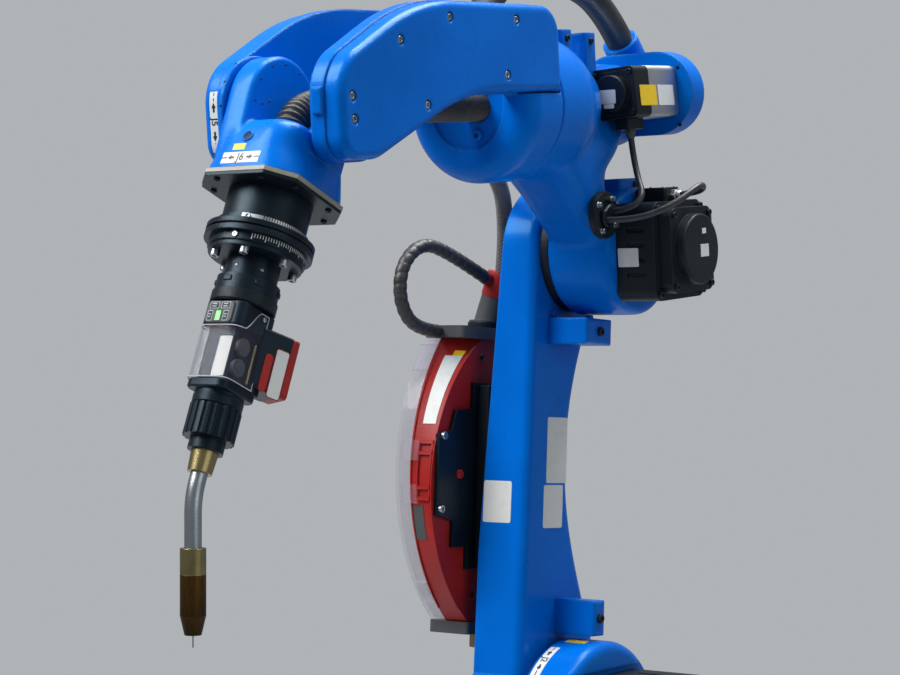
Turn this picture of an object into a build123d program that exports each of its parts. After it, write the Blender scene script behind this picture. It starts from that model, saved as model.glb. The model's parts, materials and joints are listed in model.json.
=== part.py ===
"""Six-axis arc-welding robot arm with a wire buffer on its lower arm and a bent-neck torch on its wrist.

Every link is drawn in its own frame, with X forwards, Y to the robot's left and Z up, and is then set at
its place by the joint angles of the stored pose. Lengths are millimetres and angles are degrees.
"""

import os
from math import cos, radians, sin, sqrt

from build123d import *

# Kinematics: distances between the joint axes
j2_reach = 160.0
j2_height = 460.0
lower_arm_length = 643.0
elbow_rise = 190.0
forearm_length = 640.0

# Stored pose: lean of the lower arm, dip of the forearm below level, lean of the tool from straight down
lower_arm_lean = -3.0
forearm_dip = 5.0
tool_lean = 22.0

# Clearances
seat_gap = 0.3
running_gap = 6.0
overrun = 20.0

# Base
base_flange = 380.0
base_flange_thickness = 28.0
base_corner = 45.0
base_bolt_pitch = 310.0
base_bolt_hole = 18.0
base_foot = 290.0
base_foot_corner = 90.0
base_shoulder_height = 150.0
base_neck_radius = 138.0
base_height = 195.0
base_box_width = 170.0
base_box_height = 105.0
base_cover_thickness = 4.0
base_cover_margin = 8.0
j1_reducer_radius = 108.0

# Turret and the second joint's hub
turret_radius = 150.0
turret_disc_thickness = 48.0
turret_foot_length = 230.0
turret_foot_width = 190.0
turret_waist_length = 150.0
turret_waist_drop = 110.0
turret_edge = 16.0
j2_hub_radius = 135.0
j2_hub_edge = 14.0
hub_inner_y = -43.0
hub_outer_y = 22.0
j2_pocket = 200.0
j2_pocket_depth = 6.0
j2_reducer_radius = 119.0
reducer_thickness = 11.7

# Lower arm
arm_foot_radius = 135.0
arm_head_radius = 90.0
arm_front_foot = 101.0
arm_thickness_foot = 70.0
arm_thickness_head = 46.0
arm_taper_start = 250.0
arm_edge = 12.0
arm_head_turn = 20.0
arm_rear_shares = ((-0.31, 0.83), (-0.10, 0.70), (-0.06, 0.50), (-0.34, 0.32))
stop_width = 60.0
j2_stop_length = 28.0
j2_stop_height = 46.0
j2_stop_x = 5.0
j3_stop_length = 62.0
j3_stop_height = 34.0
j3_stop_x = 24.0
stop_edge = 4.0
stop_hole = 7.0
j3_reducer_radius = 80.0

# Elbow
j3_hub_radius = 84.0
elbow_near_y = 50.0
elbow_hub_edge = 9.0
elbow_neck_height = 86.0
elbow_neck_length = 126.0
elbow_neck_x = 74.0
elbow_crown_height = 150.0
elbow_crown_length = 218.0
elbow_crown_width = 112.0
elbow_crown_x = 96.0
elbow_corner = 30.0
elbow_front = 235.0
elbow_rear = -30.0
elbow_tube_radius = 54.0
elbow_bell_radius = 90.0
elbow_bell_start = 100.0
gearcase_thickness = 42.0
gearcase_edge = 12.0
gearcase_rise = 12.0
j4_motor_y = 64.0
lug_x = 138.0
lug_y = 22.0
lug_pitch = 40.0
lug_length = 22.0
lug_width = 26.0
lug_rise = 22.0
j4_reducer_radius = 70.0

# Servo motors
j2_motor_frame = 184.0
j2_motor_length = 96.0
j2_motor_cap_length = 40.0
j3_motor_frame = 126.0
j3_motor_length = 56.0
j3_motor_cap_length = 14.0
j4_motor_frame = 64.0
j4_motor_length = 78.0
j4_motor_cap_length = 12.0
j4_motor_roll = 4.0
motor_corner_share = 0.12
motor_cap_share = 0.36
motor_step_share = 0.86
motor_step_length_share = 0.35
motor_rib_share = 0.025

# Cable entry on the elbow and the motor leads
gland_radius = 30.0
gland_thickness = 7.0
gland_x = 97.0
gland_z = 50.0
motor_lead = 8.0
terminal_length = 46.0
terminal_width = 40.0
terminal_height = 14.0
j4_terminal_size = 20.0
j4_terminal_drop = 14.0
j4_terminal_x = 44.0
lead_run = 45.0

# Forearm
fork_inner_y = 55.0
fork_wall = 18.0
cover_thickness = 23.0
cover_edge = 9.0
cover_inset = 2.0
cover_bore = 12.0
cover_bore_depth = 4.0
cover_screw_shares = (
    (0.583, 0.83),
    (0.243, 0.83),
    (0.823, 0.60),
    (0.302, 0.28),
    (0.710, -0.01),
    (1.053, 0.08),
    (1.048, -0.13),
)
branch_lap = 2.0
branch_height = 116.0
branch_corner_shares = (
    (0, 1.01),
    (0.723, 1.01),
    (1.108, 0.38),
    (1.108, -0.52),
    (0.942, -0.52),
    (0.488, 0.1),
    (0, 0.1),
)
branch_radius_shares = (2.6, 0.5, 0.25, 0.5, 3.0)
branch_heel_share = 0.31
neck_radius = 92.0
neck_end = 312.0
neck_edge = 26.0
neck_recess_radius = 52.0
neck_recess_depth = 5.0

# Wrist
dome_radius = 56.0
dome_thickness = 44.0
dome_edge = 10.0
wrist_side_gap = 5.0
wrist_near_thickness = 18.0
wrist_near_radius = 50.0
wrist_crown = 42.0
wrist_shoulder = 64.0
wrist_house_depth = 36.0
wrist_crown_length = 106.0
wrist_top_length = 116.0
wrist_top_width = 98.0
wrist_plate_length = 132.0
wrist_plate_width = 130.0
wrist_plate_cut = 26.0
wrist_plate_thickness = 8.0
wrist_boss_radius = 46.0
conduit_diameter = 36.0
conduit_y = 13.0
conduit_bore = conduit_diameter / 2 + seat_gap

# Torch, measured down the tool axis from the wrist plate
adaptor_radius = 46.0
adaptor_length = 36.0
scale_ring_radius = 50.0
scale_ring_length = 8.0
crash_disc_radius = 59.0
crash_disc_length = 14.0
crash_groove = 2.5
lower_ring_radius = 53.0
lower_ring_length = 9.0
lip_radius = 51.0
lip_length = 5.0
collar_radius = 29.0
collar_length = 25.0
head_radius = 34.0
head_length = 30.0
torch_body_width = 56.0
torch_body_depth = 60.0
torch_body_length = 96.0
torch_body_corner = 12.0
torch_foot_radius = 27.0
torch_foot_length = 15.0
grip_nut_radius = 27.5
grip_nut_length = 34.0
grip_flutes = 20
grip_flute_radius = 2.2
sleeve_radius = 19.0
sleeve_length = 13.0
union_across = 29.0
union_length = 23.0
union_taper = 4.0
neck_tube = 18.0
neck_lead_in = 26.0
neck_lead_out = 52.0
torch_neck_bend = 22.0
neck_bend_radius = 90.0
nozzle_radius = 13.5
nozzle_ring_length = 27.0
nozzle_length = 42.0
nozzle_tip_length = 20.0
nozzle_tip_radius = 8.8
nozzle_bore = 6.5
wire_diameter = 1.6
wire_stickout = 13.0
drive_box_length = 66.0
drive_box_rise = 16.0
drive_box_depth = 27.0
drive_box_width = 44.0
drive_box_turn = 22.0
drive_lever_thickness = 9.0
drive_lever_edge = 4.0

# Wire buffer on the far side of the lower arm
buffer_head_drop = 119.0
buffer_height = 372.0
buffer_back_x = 4.0
buffer_front_foot = 82.0
buffer_front_head = 112.0
buffer_front_bulge = 172.0
buffer_near_head = 66.0
buffer_near_foot = 80.0
buffer_near_y = -150.0
buffer_case_width = 34.0
buffer_wall = 6.0
buffer_cover_width = 24.0
buffer_cover_wall = 3.0
buffer_cap_height = 16.0
buffer_cap_margin = 5.0
buffer_cap_edge = 6.0
bracket_thickness = 6.0
bracket_rise = 70.0
bracket_height = 244.0
bracket_depth = 151.0
bracket_back_x = 15.0
bracket_shares = (
    (0, 0),
    (0.54, 0),
    (0.54, 0.12),
    (0.76, 0.12),
    (0.76, 0.26),
    (1, 0.29),
    (1, 0.72),
    (0.82, 0.74),
    (0.75, 0.85),
    (0.5, 0.86),
    (0.5, 1),
    (0, 1),
)
spacer_size = 46.0
spacer_pitch = 150.0
connector_radius = 20.0
connector_length = 34.0
connector_ring_radius = 24.0
connector_ring_length = 12.0
connector_x = 14.0
connector_tilt = 18.0
clamp_radius = 21.0
clamp_length = 32.0
inlet_radius = 11.0
inlet_length = 22.0

# Hoses: diameters, and routes as points chosen by hand in the frame of the link that carries them
hosepack_diameter = 22.0
loop_diameter = 18.0
umbilical_diameter = 36.0
umbilical_gland_radius = 24.0
umbilical_gland_length = 16.0
saddle_width = 44.0
saddle_thickness = 34.0
saddle_x = 190.0
saddle_angle = 210.0
umbilical_route = ((-54, 0, 274), (-12, 0, 322), (80, 0, 352), (190, 0, 350), (242, 0, 333), (272, 0, 299))
loop_shape = ((116, -188, 8), (166, -189, 8), (199, -190, 40), (199, -190, 86), (166, -187, 118), (120, -182, 118))
loop_tail = (41, -166, 84)
hosepack_rise = 75.0
hosepack_reach = 100.0
j4_lead_start = ((88, 57, 54), (86, 112, 56))
j3_lead_route = ((104, 57, 44), (104, 104, 42), (86, 152, 60), (42, 168, 86), (2, 146, 72), (0, 104, 70))
conduit_lead = 80.0

# Link frames in the stored pose
world = Location((0, 0, 0))
lower_arm_frame = Location((j2_reach, 0, j2_height), (0, lower_arm_lean, 0))
elbow_frame = lower_arm_frame * Location((0, 0, lower_arm_length), (0, forearm_dip - lower_arm_lean, 0))
forearm_frame = elbow_frame * Location((0, 0, elbow_rise))
wrist_frame = forearm_frame * Location((forearm_length, 0, 0), (0, -tool_lean - forearm_dip, 0))

turret_floor = base_height + running_gap + seat_gap
arm_near_y = hub_inner_y - reducer_thickness - seat_gap
arm_far_y = arm_near_y - arm_thickness_foot
arm_head_far_y = arm_near_y - arm_thickness_head


def side(y):
    """The upright plane across Y at the given distance, drawn in X and Z; it is extruded towards -Y."""
    return Plane(origin=(0, y, 0), x_dir=(1, 0, 0), z_dir=(0, -1, 0))


def keep(piece, label, link):
    """Names a piece, sets it at its place on the posed robot and writes its file."""
    piece.part.label = label
    placed = piece.part.moved(link)
    placed.label = label
    export_step(placed, f"parts/{label}.step")


def round_path(points, radius_share=0.45):
    """Straight runs between the points, joined by tangent arcs as large as the shorter run allows."""
    corners = [Vector(point) for point in points]
    radii = []
    for before, here, after in zip(corners, corners[1:], corners[2:]):
        turn = (here - before).get_angle(after - here)
        shorter = min((here - before).length, (after - here).length)
        half = radians(turn / 2)
        radii.append(radius_share * shorter * cos(half) / sin(half))
    return FilletPolyline(*corners, radius=radii)


def tube(points, diameter):
    """A round hose along a route of points."""
    with BuildPart() as hose:
        with BuildLine() as route:
            round_path(points)
        with BuildSketch(Plane(origin=route.line @ 0, z_dir=route.line % 0)):
            Circle(diameter / 2)
        sweep(path=route.line)
    return hose


def servo_motor(mount, frame, length, cap_length):
    """A square servo motor on its mounting plane: ribbed body, stepped end shield and round encoder cap."""
    with BuildPart() as motor:
        with BuildSketch(mount):
            RectangleRounded(frame, frame, frame * motor_corner_share)
        extrude(amount=length)
        stepped = frame * motor_step_share
        with BuildSketch(mount.offset(length)):
            RectangleRounded(stepped, stepped, frame * motor_corner_share)
        extrude(amount=length * motor_step_length_share)
        rib = frame * motor_rib_share
        with BuildSketch(mount.offset(length / 4)):
            for turn in (0, 90, 180, 270):
                with Locations(Location((0, 0), turn)):
                    with GridLocations(0, 6 * rib, 1, 4):
                        with Locations((frame / 2, 0)):
                            Rectangle(2 * rib, 2 * rib)
        extrude(amount=length / 2, mode=Mode.SUBTRACT)
        end = mount.offset(length * (1 + motor_step_length_share))
        with BuildSketch(end):
            Circle(frame * motor_cap_share)
        extrude(amount=cap_length)
        fillet(motor.faces().sort_by(Axis(end.origin, end.z_dir))[-1].edges(), rib)
    return motor


os.makedirs("parts", exist_ok=True)

# Base casting: square bolt flange, flared foot, round neck and a junction box behind
with BuildPart() as base_casting:
    with BuildSketch():
        RectangleRounded(base_flange, base_flange, base_corner)
        with GridLocations(base_bolt_pitch, base_bolt_pitch, 2, 2):
            Circle(base_bolt_hole / 2, mode=Mode.SUBTRACT)
    extrude(amount=base_flange_thickness)
    with BuildSketch(Plane.XY.offset(base_flange_thickness)):
        RectangleRounded(base_foot, base_foot, base_foot_corner)
    with BuildSketch(Plane.XY.offset(base_shoulder_height)):
        Circle(base_neck_radius)
    loft()
    with BuildSketch(Plane.XY.offset(base_shoulder_height)):
        Circle(base_neck_radius)
    extrude(amount=base_height - base_shoulder_height)
    box_reach = base_flange / 2
    with BuildSketch(Plane.XY.offset(base_flange_thickness)):
        with Locations((-box_reach / 2, 0)):
            Rectangle(box_reach, base_box_width)
    extrude(amount=base_box_height)
keep(base_casting, "base_casting", world)

with BuildPart() as base_rear_cover:
    rear_face = Plane(
        origin=(-box_reach, 0, base_flange_thickness + base_box_height / 2), x_dir=(0, -1, 0), z_dir=(-1, 0, 0)
    )
    with BuildSketch(rear_face):
        RectangleRounded(
            base_box_width - 2 * base_cover_margin, base_box_height - 2 * base_cover_margin, base_cover_margin
        )
    extrude(amount=base_cover_thickness)
keep(base_rear_cover, "base_rear_cover", world)

with BuildPart() as j1_reducer:
    with BuildSketch(Plane.XY.offset(base_height)):
        Circle(j1_reducer_radius)
    extrude(amount=running_gap)
keep(j1_reducer, "j1_reducer", world)

# Turret: a round table with an upright that ends in the second joint's hub
with BuildPart() as turret_casting:
    with BuildSketch(side(hub_outer_y)):
        with Locations((j2_reach, j2_height)):
            Circle(j2_hub_radius)
        with Locations((0, turret_floor + turret_disc_thickness / 2)):
            Rectangle(turret_foot_length, turret_disc_thickness)
        make_hull()
    extrude(amount=hub_outer_y - hub_inner_y)
    fillet(turret_casting.faces().sort_by(Axis.Y)[-1].edges(), j2_hub_edge)
    with BuildSketch(Plane.XZ) as table_profile:
        with Locations((0, turret_floor)):
            Rectangle(turret_radius, turret_disc_thickness, align=(Align.MIN, Align.MIN))
        fillet(table_profile.vertices().group_by(Axis.Y)[-1].sort_by(Axis.X)[-1], turret_edge)
    revolve(axis=Axis.Z)
    table_top = turret_floor + turret_disc_thickness
    with BuildSketch(Plane.XY.offset(table_top)):
        RectangleRounded(turret_foot_length, turret_foot_width, j2_hub_edge)
    with BuildSketch(Plane.XY.offset(j2_height - turret_waist_drop)):
        with Locations((j2_reach / 2, (hub_outer_y + hub_inner_y) / 2)):
            RectangleRounded(turret_waist_length, hub_outer_y - hub_inner_y - j2_hub_edge, j2_hub_edge)
    loft()
    with BuildSketch(side(hub_outer_y)):
        with Locations((j2_reach, j2_height)):
            Rectangle(j2_pocket, j2_pocket)
    extrude(amount=j2_pocket_depth, mode=Mode.SUBTRACT)
keep(turret_casting, "turret_casting", world)

j2_motor_mount = Plane(
    origin=(j2_reach, hub_outer_y - j2_pocket_depth, j2_height), x_dir=(1, 0, 0), z_dir=(0, 1, 0)
)
j2_motor = servo_motor(j2_motor_mount, j2_motor_frame, j2_motor_length, j2_motor_cap_length)
keep(j2_motor, "j2_motor", world)

# Lower arm: straight in front, waisted behind, thinner towards its head
with BuildPart() as lower_arm_casting:
    with BuildSketch(side(arm_near_y)):
        Circle(arm_foot_radius)
        with Locations((0, lower_arm_length)):
            Circle(arm_head_radius)
        foot_front = (arm_front_foot, sqrt(arm_foot_radius**2 - arm_front_foot**2))
        foot_rear = (-foot_front[0], foot_front[1])
        head_front = (arm_head_radius, lower_arm_length)
        head_turn = radians(arm_head_turn)
        head_rear = (-arm_head_radius * cos(head_turn), lower_arm_length - arm_head_radius * sin(head_turn))
        waist = [(x * arm_foot_radius, z * lower_arm_length) for x, z in arm_rear_shares]
        with BuildLine():
            Line(foot_front, head_front)
            Line(head_front, head_rear)
            Spline(head_rear, *waist, foot_rear)
            Line(foot_rear, foot_front)
        make_face()
    extrude(amount=arm_thickness_foot)
    with BuildSketch(Plane.YZ):
        with BuildLine():
            arm_top = lower_arm_length + arm_head_radius + overrun
            Polyline(
                (arm_far_y, arm_taper_start),
                (arm_head_far_y, arm_top),
                (arm_far_y - overrun, arm_top),
                (arm_far_y - overrun, arm_taper_start),
                close=True,
            )
        make_face()
    extrude(amount=2 * arm_foot_radius, both=True, mode=Mode.SUBTRACT)
    fillet(lower_arm_casting.faces().sort_by(Axis.Y)[-1].edges(), arm_edge)
keep(lower_arm_casting, "lower_arm_casting", lower_arm_frame)

with BuildPart() as j2_reducer:
    with BuildSketch(side(hub_inner_y - seat_gap)):
        Circle(j2_reducer_radius)
    extrude(amount=reducer_thickness)
keep(j2_reducer, "j2_reducer", lower_arm_frame)


def stop_block(x, z, length, height):
    """A hard-stop block on the near face of the lower arm, with a tapped hole for its buffer screw."""
    with BuildPart() as block:
        with BuildSketch(Plane.XZ.offset(-arm_near_y)):
            with Locations((x, z)):
                Rectangle(length, height)
        extrude(amount=-stop_width)
        fillet(block.faces().sort_by(Axis.Y)[-1].edges(), stop_edge)
        with Locations(Plane(origin=(x, arm_near_y + stop_width, z), z_dir=(0, 1, 0))):
            Hole(stop_hole / 2, depth=stop_width / 2)
    return block


j2_stop_z = j2_hub_radius + running_gap + j2_stop_height / 2
j2_stop = stop_block(j2_stop_x, j2_stop_z, j2_stop_length, j2_stop_height)
keep(j2_stop, "j2_stop_block", lower_arm_frame)
j3_stop_z = lower_arm_length - j3_hub_radius - running_gap - j3_stop_height / 2
j3_stop = stop_block(j3_stop_x, j3_stop_z, j3_stop_length, j3_stop_height)
keep(j3_stop, "j3_stop_block", lower_arm_frame)

with BuildPart() as j3_reducer:
    with BuildSketch(side(arm_near_y + reducer_thickness)):
        with Locations((0, lower_arm_length)):
            Circle(j3_reducer_radius)
    extrude(amount=reducer_thickness)
keep(j3_reducer, "j3_reducer", lower_arm_frame)

j4_motor_z = elbow_rise + gearcase_rise
j4_motor_mount = Plane(
    origin=(elbow_rear, j4_motor_y, j4_motor_z),
    x_dir=(0, cos(radians(j4_motor_roll)), sin(radians(j4_motor_roll))),
    z_dir=(1, 0, 0),
)
saddle_out = (cos(radians(saddle_angle)), sin(radians(saddle_angle)))
saddle_face = elbow_bell_radius + saddle_thickness
saddle_plane = Plane(
    origin=(saddle_x, saddle_face * saddle_out[0], elbow_rise + saddle_face * saddle_out[1]),
    x_dir=(1, 0, 0),
    z_dir=(0, saddle_out[0], saddle_out[1]),
)

# Elbow: hub, leaning neck, tapered tube along the forearm axis and the gear case behind it
with BuildPart() as elbow_casting:
    with BuildSketch(side(elbow_near_y)):
        Circle(j3_hub_radius)
    extrude(amount=elbow_near_y - hub_inner_y)
    fillet(elbow_casting.faces().sort_by(Axis.Y)[-1].edges(), elbow_hub_edge)
    hub_middle_y = (elbow_near_y + hub_inner_y) / 2
    hub_width = elbow_near_y - hub_inner_y
    with BuildSketch():
        with Locations((0, hub_middle_y)):
            RectangleRounded(2 * j3_hub_radius - elbow_corner, hub_width, elbow_corner)
    with BuildSketch(Plane.XY.offset(elbow_neck_height)):
        with Locations((elbow_neck_x, hub_middle_y)):
            RectangleRounded(elbow_neck_length, hub_width, elbow_corner)
    with BuildSketch(Plane.XY.offset(elbow_crown_height)):
        with Locations((elbow_crown_x, 0)):
            RectangleRounded(elbow_crown_length, elbow_crown_width, elbow_corner)
    loft()
    with BuildSketch(Plane.XZ):
        with BuildLine():
            Line((elbow_rear, elbow_rise), (elbow_rear, elbow_rise + elbow_tube_radius))
            Spline(
                (elbow_rear, elbow_rise + elbow_tube_radius),
                (elbow_bell_start, elbow_rise + elbow_bell_radius),
                tangents=((1, 0), (1, 0)),
            )
            Line((elbow_bell_start, elbow_rise + elbow_bell_radius), (elbow_front, elbow_rise + elbow_bell_radius))
            Line((elbow_front, elbow_rise + elbow_bell_radius), (elbow_front, elbow_rise))
            Line((elbow_front, elbow_rise), (elbow_rear, elbow_rise))
        make_face()
    revolve(axis=Axis((0, 0, elbow_rise), (1, 0, 0)))
    with BuildSketch(Plane.XY.offset(elbow_rise)):
        with Locations((lug_x, lug_y), (lug_x - lug_pitch, lug_y)):
            Rectangle(lug_length, lug_width)
    extrude(amount=elbow_bell_radius + lug_rise)
    with BuildSketch(saddle_plane):
        Rectangle(saddle_width, saddle_width)
    extrude(amount=-saddle_thickness - elbow_bell_radius / 2)
    j4_pocket = j4_motor_frame + 2 * running_gap
    j4_pocket_drop = j4_terminal_drop + 2 * motor_lead
    with BuildSketch(j4_motor_mount):
        with Locations((0, -j4_pocket_drop / 2)):
            Rectangle(j4_pocket, j4_pocket + j4_pocket_drop)
    j4_motor_total = j4_motor_length * (1 + motor_step_length_share) + j4_motor_cap_length
    extrude(amount=j4_motor_total + running_gap, mode=Mode.SUBTRACT)
keep(elbow_casting, "elbow_casting", elbow_frame)

umbilical_start = umbilical_route[0]
umbilical_aim = (Vector(*umbilical_route[1]) - Vector(*umbilical_start)).normalized()
with BuildPart() as j4_gearcase:
    with BuildSketch(Plane.YZ.offset(elbow_rear)):
        with Locations((j4_motor_y / 2, j4_motor_z)):
            SlotCenterToCenter(j4_motor_y, 2 * elbow_tube_radius)
    extrude(amount=-gearcase_thickness)
    fillet(j4_gearcase.faces().sort_by(Axis.X)[0].edges(), gearcase_edge)
    with BuildSketch(Plane(origin=umbilical_start, z_dir=umbilical_aim)):
        Circle(umbilical_gland_radius)
    extrude(amount=-2 * umbilical_gland_length)
    split(bisect_by=Plane.YZ.offset(elbow_rear), keep=Keep.BOTTOM)
keep(j4_gearcase, "j4_gearcase", elbow_frame)

j3_motor_mount = Plane(origin=(0, elbow_near_y, 0), x_dir=(1, 0, 0), z_dir=(0, 1, 0))
j3_motor = servo_motor(j3_motor_mount, j3_motor_frame, j3_motor_length, j3_motor_cap_length)
keep(j3_motor, "j3_motor", elbow_frame)

j4_motor = servo_motor(j4_motor_mount, j4_motor_frame, j4_motor_length, j4_motor_cap_length)
keep(j4_motor, "j4_motor", elbow_frame)

with BuildPart() as j3_terminal_box:
    with BuildSketch(Plane.XY.offset(j3_motor_frame / 2)):
        with Locations((0, elbow_near_y + j3_motor_length / 2)):
            RectangleRounded(terminal_width, terminal_length, motor_lead / 2)
    extrude(amount=terminal_height)
keep(j3_terminal_box, "j3_terminal_box", elbow_frame)

with BuildPart() as cable_gland:
    with BuildSketch(Plane(origin=(gland_x, elbow_near_y, gland_z), z_dir=(0, 1, 0))):
        Circle(gland_radius)
    extrude(amount=gland_thickness)
keep(cable_gland, "cable_gland", elbow_frame)

# Forearm: neck on the fourth joint, bridge and two arched branches that carry the belt covers
with BuildPart() as j4_reducer:
    with BuildSketch(Plane.YZ.offset(elbow_front + seat_gap)):
        Circle(j4_reducer_radius)
    extrude(amount=running_gap)
keep(j4_reducer, "j4_reducer", forearm_frame)


neck_start = elbow_front + seat_gap + running_gap
branch_root = neck_start + branch_lap


def branch_points(shares):
    """Points of a branch from shares of its span, root to wrist axis, and of its height."""
    return [(branch_root + x * (forearm_length - branch_root), z * branch_height) for x, z in shares]


def branch_face(near, inset):
    """Draws the arched side outline of a fork branch on the plane at the given Y, drawn in by an inset."""
    corners = branch_points(branch_corner_shares)
    with BuildSketch(side(near)) as face:
        with BuildLine():
            FilletPolyline(*corners, radius=[share * branch_height for share in branch_radius_shares])
            Line(corners[-1], corners[0])
        make_face()
        heel = face.vertices().group_by(Axis.X)[0].sort_by(Axis.Y)[-1]
        fillet(heel, branch_heel_share * branch_height)
        if inset:
            offset(amount=-inset, mode=Mode.REPLACE)
    return face.sketch


with BuildPart() as forearm_casting:
    with BuildSketch(Plane.YZ.offset(neck_start)):
        Circle(neck_radius)
    extrude(amount=neck_end - neck_start)
    fillet(forearm_casting.faces().sort_by(Axis.X)[-1].edges(), neck_edge)
    with BuildSketch(Plane.YZ.offset(neck_end)):
        Circle(neck_recess_radius)
    extrude(amount=-neck_recess_depth, mode=Mode.SUBTRACT)
    for near in (fork_inner_y + fork_wall, -fork_inner_y):
        extrude(branch_face(near, 0), amount=fork_wall)
    for near in (fork_inner_y + fork_wall + cover_thickness, -fork_inner_y - fork_wall):
        extrude(branch_face(near, 0), amount=cover_thickness, mode=Mode.SUBTRACT)
    port_end = Vector(*umbilical_route[-1]) - Vector(0, 0, elbow_rise)
    port_aim = (Vector(*umbilical_route[-2]) - Vector(*umbilical_route[-1])).normalized()
    with BuildSketch(Plane(origin=port_end, z_dir=port_aim)):
        Circle(umbilical_gland_radius)
    extrude(amount=-2 * umbilical_gland_length)
    with BuildSketch(Plane.YZ.offset(neck_end)):
        with Locations((conduit_y, 0)):
            Circle(conduit_bore)
    extrude(amount=neck_start - neck_end + running_gap, mode=Mode.SUBTRACT)
keep(forearm_casting, "forearm_casting", forearm_frame)

with BuildPart() as left_cover:
    cover_face = fork_inner_y + fork_wall + cover_thickness
    extrude(branch_face(cover_face, cover_inset), amount=cover_thickness)
    fillet(left_cover.faces().sort_by(Axis.Y)[-1].edges(), cover_edge)
    with BuildSketch(side(cover_face)):
        with Locations(*branch_points(cover_screw_shares)):
            Circle(cover_bore / 2)
    extrude(amount=cover_bore_depth, mode=Mode.SUBTRACT)
keep(left_cover, "left_belt_cover", forearm_frame)

with BuildPart() as right_cover:
    mirror(left_cover.part, about=Plane.XZ)
keep(right_cover, "right_belt_cover", forearm_frame)

# Wrist: two cheeks on the fifth joint, a gear house below them and the plate that closes it
with BuildPart() as wrist_casting:
    dome_far_y = -fork_inner_y + wrist_side_gap
    near_cheek_y = fork_inner_y - wrist_side_gap
    for near, thickness, radius in (
        (dome_far_y + dome_thickness, dome_thickness, dome_radius),
        (near_cheek_y, wrist_near_thickness, wrist_near_radius),
    ):
        with BuildSketch(side(near)):
            Circle(radius)
            with Locations((0, -wrist_shoulder / 2)):
                Rectangle(2 * radius, wrist_shoulder)
        extrude(amount=thickness)
        if radius == dome_radius:
            fillet(wrist_casting.faces().sort_by(Axis.Y)[-1].edges(), dome_edge)
    boss_length = wrist_side_gap - seat_gap
    for near in (dome_far_y, near_cheek_y + boss_length):
        with BuildSketch(side(near)):
            Circle(wrist_boss_radius)
        extrude(amount=boss_length)
    for level, length, width in (
        (-wrist_crown, wrist_crown_length, wrist_top_width),
        (-wrist_shoulder, wrist_top_length, wrist_top_width),
        (-wrist_shoulder - wrist_house_depth, wrist_plate_length, wrist_plate_width),
    ):
        with BuildSketch(Plane.XY.offset(level)) as house:
            Rectangle(length, width)
            chamfer(house.vertices(), wrist_plate_cut)
    loft(ruled=True)
    with Locations((0, conduit_y, 0)):
        Hole(conduit_bore)
keep(wrist_casting, "wrist_casting", wrist_frame)


plate_top = -wrist_shoulder - wrist_house_depth
with BuildPart() as wrist_plate:
    with BuildSketch(Plane.XY.offset(plate_top)) as plate_outline:
        Rectangle(wrist_plate_length, wrist_plate_width)
        chamfer(plate_outline.vertices(), wrist_plate_cut)
        with Locations((0, conduit_y)):
            Circle(conduit_bore, mode=Mode.SUBTRACT)
    extrude(amount=-wrist_plate_thickness)
keep(wrist_plate, "wrist_plate", wrist_frame)

# Torch: stacked round pieces down the tool axis
torch_top = plate_top - wrist_plate_thickness - seat_gap


def round_stack(name, top, steps):
    """A turned piece of the torch: round steps of given radius and length, one below the other."""
    with BuildPart() as piece:
        level = top
        for radius, length in steps:
            with BuildSketch(Plane.XY.offset(level)):
                Circle(radius)
            extrude(amount=-length)
            level = level - length
    keep(piece, name, wrist_frame)
    return level


disc_half = (crash_disc_length - crash_groove) / 2
head_top = round_stack(
    "crash_box",
    torch_top,
    (
        (adaptor_radius, adaptor_length),
        (scale_ring_radius, scale_ring_length),
        (crash_disc_radius, disc_half),
        (crash_disc_radius - crash_groove, crash_groove),
        (crash_disc_radius, disc_half),
        (lower_ring_radius, lower_ring_length),
        (lip_radius, lip_length),
    ),
)
body_top = round_stack("torch_head", head_top, ((collar_radius, collar_length), (head_radius, head_length)))

with BuildPart() as torch_body:
    with BuildSketch(Plane.XY.offset(body_top)):
        RectangleRounded(torch_body_depth, torch_body_width, torch_body_corner)
    extrude(amount=-torch_body_length)
    with BuildSketch(Plane.XY.offset(body_top - torch_body_length)):
        Circle(torch_foot_radius)
    extrude(amount=-torch_foot_length)
keep(torch_body, "torch_body", wrist_frame)

nut_top = body_top - torch_body_length - torch_foot_length
sleeve_top = nut_top - grip_nut_length
with BuildPart() as grip_nut:
    with BuildSketch(Plane.XY.offset(nut_top)):
        Circle(grip_nut_radius)
        with PolarLocations(grip_nut_radius, grip_flutes):
            Circle(grip_flute_radius, mode=Mode.SUBTRACT)
    extrude(amount=-grip_nut_length)
    with BuildSketch(Plane.XY.offset(sleeve_top)):
        Circle(sleeve_radius)
    extrude(amount=-sleeve_length)
keep(grip_nut, "torch_grip_nut", wrist_frame)
union_top = sleeve_top - sleeve_length
with BuildPart() as torch_union:
    with BuildSketch(Plane.XY.offset(union_top)):
        RegularPolygon(union_across / 2, 6, major_radius=False)
    extrude(amount=-union_length)
    with BuildSketch(Plane.XY.offset(union_top)):
        Circle(union_across / 2)
    extrude(amount=-union_length, mode=Mode.INTERSECT, taper=union_taper)
keep(torch_union, "torch_union_nut", wrist_frame)

neck_top = union_top - union_length
bend_point = (0, 0, neck_top - neck_lead_in)
back = sin(radians(torch_neck_bend))
down = cos(radians(torch_neck_bend))
neck_tip = (-neck_lead_out * back, 0, bend_point[2] - neck_lead_out * down)
with BuildPart() as torch_neck:
    with BuildLine() as neck_route:
        FilletPolyline((0, 0, neck_top), bend_point, neck_tip, radius=neck_bend_radius)
    with BuildSketch(Plane(origin=neck_route.line @ 0, z_dir=neck_route.line % 0)):
        Circle(neck_tube / 2)
    sweep(path=neck_route.line)
keep(torch_neck, "torch_neck", wrist_frame)

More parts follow.
